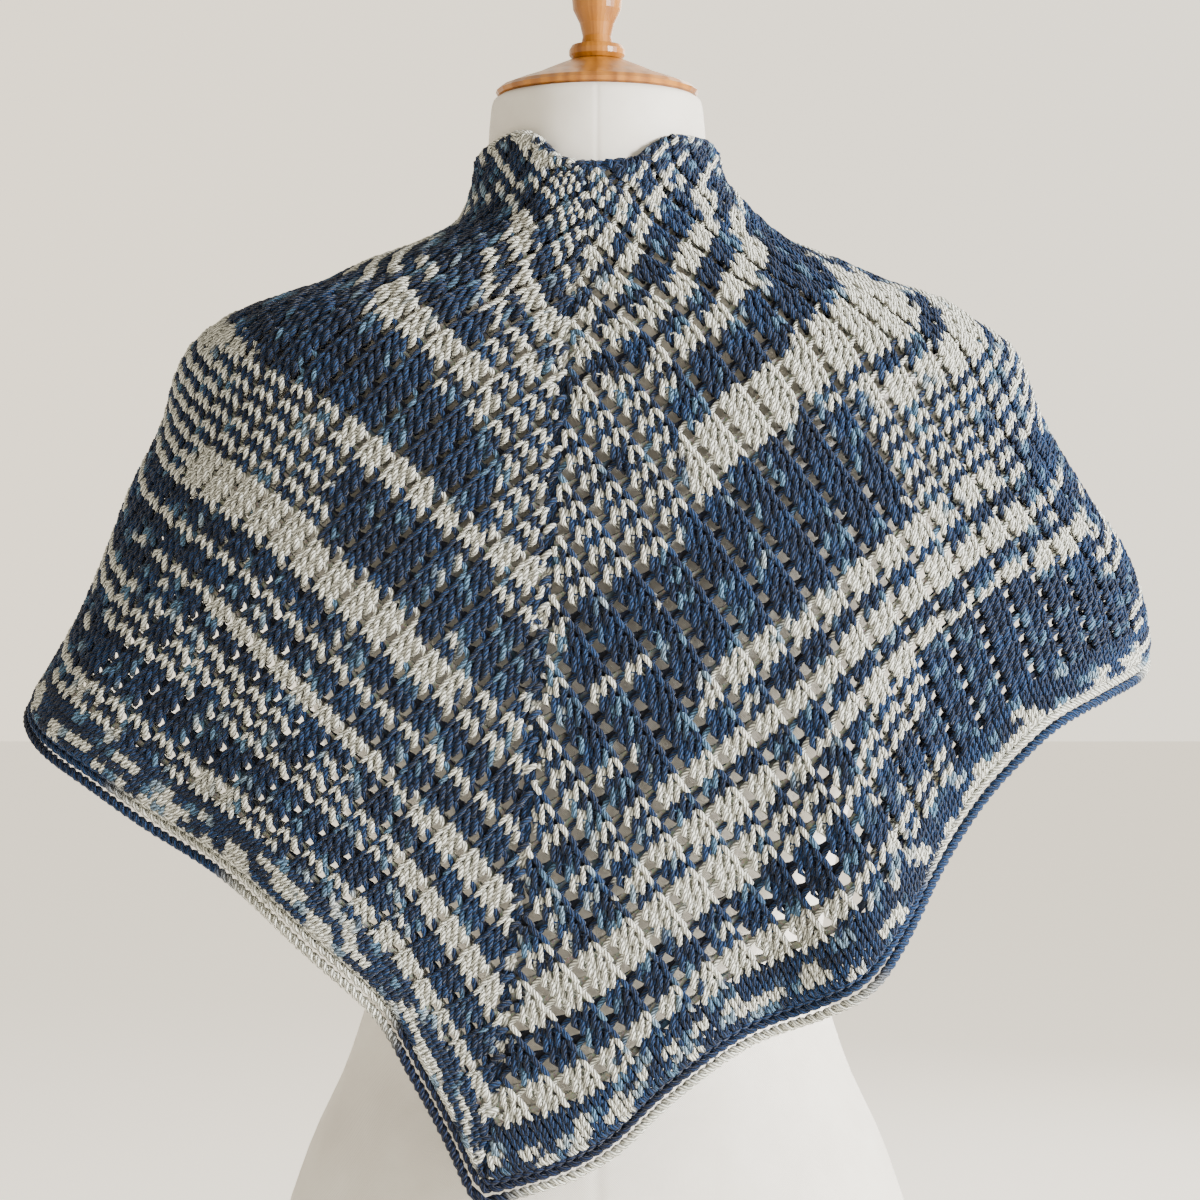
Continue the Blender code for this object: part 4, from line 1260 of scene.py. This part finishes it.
NECK_TINTS = (
    (0.00, "denim"), (0.12, "cream"), (0.18, "denim"), (0.30, "denim"), (0.36, "cream"), (0.46, "cream"),
    (0.48, "denim"), (0.55, "navy"), (0.62, "denim"), (0.70, "navy"), (0.80, "cream"), (0.85, "denim"),
    (1.00, "denim"),
)


# Courses where the mesh of a half is divided into pieces, and how finely its edges are read
MESH_CUTS = (44, 62)
SPINE_SAMPLES = 200
HEM_SAMPLES = 300
NECK_SAMPLES = 160


def knit_half(half, wool, painted_shade):
    """One half's net of painted shade behind the yarn, and a list of its mesh and its border."""
    last_mesh = ROWS - BORDER_ROWS
    cuts = (FIRST_MESH_ROW, *MESH_CUTS, last_mesh)
    pieces = []
    for part, name in enumerate(("upper", "middle", "lower")):
        paths = [mesh_course(half, course) for course in range(cuts[part], cuts[part + 1])]
        pieces.append(tube_mesh(half.name + "_mesh_" + name, paths, YARN_RADIUS, YARN_SIDES))
    paths = [border_course(half, course) for course in range(last_mesh, ROWS - 1)]
    pieces.append(tube_mesh(half.name + "_border", paths, YARN_RADIUS, YARN_SIDES))
    net = painted_shade_sheet(half)
    net.data.materials.append(painted_shade)
    for piece in pieces:
        piece.data.materials.append(wool)
    for piece in pieces + [net]:
        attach(piece, "root")
    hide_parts("shawl_" + half.name + "_half")
    return net, pieces


def build_knitting(left, right, wool, painted_shade):
    """Everything that is knitted: both halves, the spine and the edges."""
    left_net, left_pieces = knit_half(left, wool, painted_shade)
    right_net, right_pieces = knit_half(right, wool, painted_shade)

    line, out = edge_line(right, "spine", 0.0, SPINE_SAMPLES)
    path = chain_path(line - out * SPINE_CHAIN_SUNK, out, SPINE_CHAIN, flecked(right))
    spine = tube_mesh("spine_chain", [path] + spine_bars(right), YARN_RADIUS, CHAIN_SIDES)
    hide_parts("spine_column", "neck_tab")

    line, out = whole_edge(left, right, "hem", HEM_CORD_RADIUS, HEM_SAMPLES)
    chain = chain_path(line, out, HEM_CHAIN, coloured(HEM_CHAIN_TINTS))
    hem = tube_mesh("hem_chain", [chain], YARN_RADIUS, CHAIN_SIDES)
    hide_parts("bind_off_edge")
    strands = [rope_path(line, out, turn, coloured(HEM_STRAND_TINTS)) for turn in (0.0, 0.5)]
    cord = tube_mesh("hem_cord", strands, STRAND_RADIUS, YARN_SIDES)

    line, out = whole_edge(left, right, "neck", NECK_CORD_RADIUS, NECK_SAMPLES)
    chain = chain_path(line, out, NECK_CHAIN, coloured(NECK_TINTS))
    neck = tube_mesh("neck_chain", [chain], NECK_CHAIN_RADIUS, CHAIN_SIDES)
    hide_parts("neck_edge")
    for piece in (spine, hem, cord, neck):
        piece.data.materials.append(wool)
        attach(piece, "root")


# Cover of the form: levels from each ring to the next, steps round it, and how far its seams sink
COVER_LEVELS = 5
COVER_STEP = 3
SEAM_SHARE = 0.006


def form_cover():
    """Smooth jersey cover drawn over the torso, with sewn seams down its back, front and sides."""
    drops = column(FORM_COLUMNS, FORM_RINGS, "drop")
    between = [np.linspace(low, high, COVER_LEVELS) for low, high in zip(drops, drops[1:])]
    levels = np.unique(np.concatenate(between))
    seams = (0, TURN_STEPS // 2, TURN_STEPS)
    beside = [seam + shift for seam in seams for shift in (-1, 1) if 0 <= seam + shift <= TURN_STEPS]
    places = np.unique(list(range(0, TURN_STEPS + 1, COVER_STEP)) + beside)
    sunk = np.where(np.isin(places, seams), 1.0 - SEAM_SHARE, 1.0)
    points = []
    for level, across, deep in zip(levels, *rings_at(FORM_COLUMNS, FORM_RINGS, FORM_COLUMNS[1:], levels)):
        across = across[places] * sunk
        deep = deep[places] * sunk
        height = NECK_EDGE_HEIGHT - level
        points.extend((x, y, height) for x, y in zip(across, deep))
        points.extend((-x, y, height) for x, y in zip(across[-2:0:-1], deep[-2:0:-1]))
    count = 2 * len(places) - 2
    faces = []
    for level in range(len(levels) - 1):
        for step in range(count):
            near = level * count + step
            ahead = level * count + (step + 1) % count
            faces.append((near, near + count, ahead + count, ahead))
    faces.append(tuple(range(count)))
    faces.append(tuple(reversed(range(count * (len(levels) - 1), count * len(levels)))))
    made = plain_mesh("form_cover", points, faces)
    made.data.shade_smooth()
    made.data.materials.append(cover_material())
    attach(made, "root")
    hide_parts("form_torso")


def dress_form(frame):
    """Cover of the form and wood of its stand."""
    form_cover()
    wood = wood_material()
    for name in ("neck_cap", "finial", "pole", "base"):
        frame["nodes"][name].material_slots[0].material = wood


# Lamps: name, place, the point that they face, size, power and colour
LAMPS = (
    ("window", (2.1, -1.1, 1.25), (0.0, 0.0, 0.65), 0.6, 195.0, (1.0, 0.985, 0.96)),
    ("fill", (-1.6, -2.0, 1.0), (0.0, 0.0, 0.60), 1.8, 3.0, (1.0, 0.98, 0.96)),
    ("back", (0.9, 2.0, 1.5), (0.0, 0.0, 0.65), 1.4, 30.0, (1.0, 0.99, 0.97)),
)

# Room: its light near the horizon, and how much is taken from it high up, from side to side
ROOM_STRENGTH = 1.9
ROOM_SLANT = 0.95
ROOM_SIDES = ((-0.75, 1.10), (-1.70, 0.10))
ROOM_HEIGHTS = ((0.15, 0.34), (0.0, 1.0))
ROOM_TINTS = ((0.38, (1.000, 0.880, 0.690)), (0.62, (1.000, 0.920, 0.770)))

FLOOR_REACH = 12.0
CAMERA_PLACE = (0.0015, -1.5, NECK_EDGE_HEIGHT - 0.2136)
CAMERA_LENS = 88.6


def build_floor():
    """Plain warm white floor."""
    reach = FLOOR_REACH
    corners = [(-reach, -reach, 0.0), (reach, -reach, 0.0), (reach, reach, 0.0), (-reach, reach, 0.0)]
    floor = plain_mesh("floor", corners, [(0, 1, 2, 3)])
    surface = bpy.data.materials.new("floor_white")
    tree = Tree(surface, "Principled BSDF")
    tree.join(tree.end, {
        "Base Color": (0.90, 0.865, 0.80, 1.0),
        "Roughness": 0.9,
        "Emission Color": (1.0, 0.92, 0.79, 1.0),
        "Emission Strength": 0.55,
    })
    floor.data.materials.append(surface)


def build_room():
    """Pale light from all round, which fades high up towards the left and the near side."""
    world = bpy.data.worlds.new("pale_room")
    tree = Tree(world, "Background")
    across, deep, height = tree.parts(tree.add("TexCoord").outputs["Generated"])
    slanted = tree.math("MULTIPLY_ADD", across, ROOM_SLANT, deep)
    change = tree.eased(slanted, *ROOM_SIDES)
    high = tree.eased(height, *ROOM_HEIGHTS)
    tree.join(tree.end, {
        "Color": tree.ramp(tree.math("MULTIPLY_ADD", across, 0.5, 0.5), *ROOM_TINTS),
        "Strength": tree.math("MULTIPLY_ADD", change, high, ROOM_STRENGTH),
    })
    bpy.context.scene.world = world


def light(name, place, aim, size, power, colour):
    """Large soft lamp at a place, aimed at a point."""
    data = bpy.data.lights.new(name, "AREA")
    data.shape = "DISK"
    data.size = size
    data.energy = power
    data.color = colour
    made = shown(name, data)
    made.location = place
    made.rotation_euler = (Vector(aim) - Vector(place)).to_track_quat("-Z", "Y").to_euler()


def build_stage():
    """Floor, soft light and camera."""
    build_floor()
    build_room()
    for lamp in LAMPS:
        light(*lamp)
    data = bpy.data.cameras.new("camera")
    data.sensor_width = 36.0
    data.lens = CAMERA_LENS
    camera = shown("camera", data)
    camera.location = CAMERA_PLACE
    camera.rotation_euler = (0.5 * math.pi, 0.0, 0.0)
    bpy.context.scene.camera = camera


def main():
    """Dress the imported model."""
    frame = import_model()
    left = Half("left")
    right = Half("right")
    build_stage()
    dress_form(frame)
    build_knitting(left, right, yarn_material(), painted_shade_material())


main()
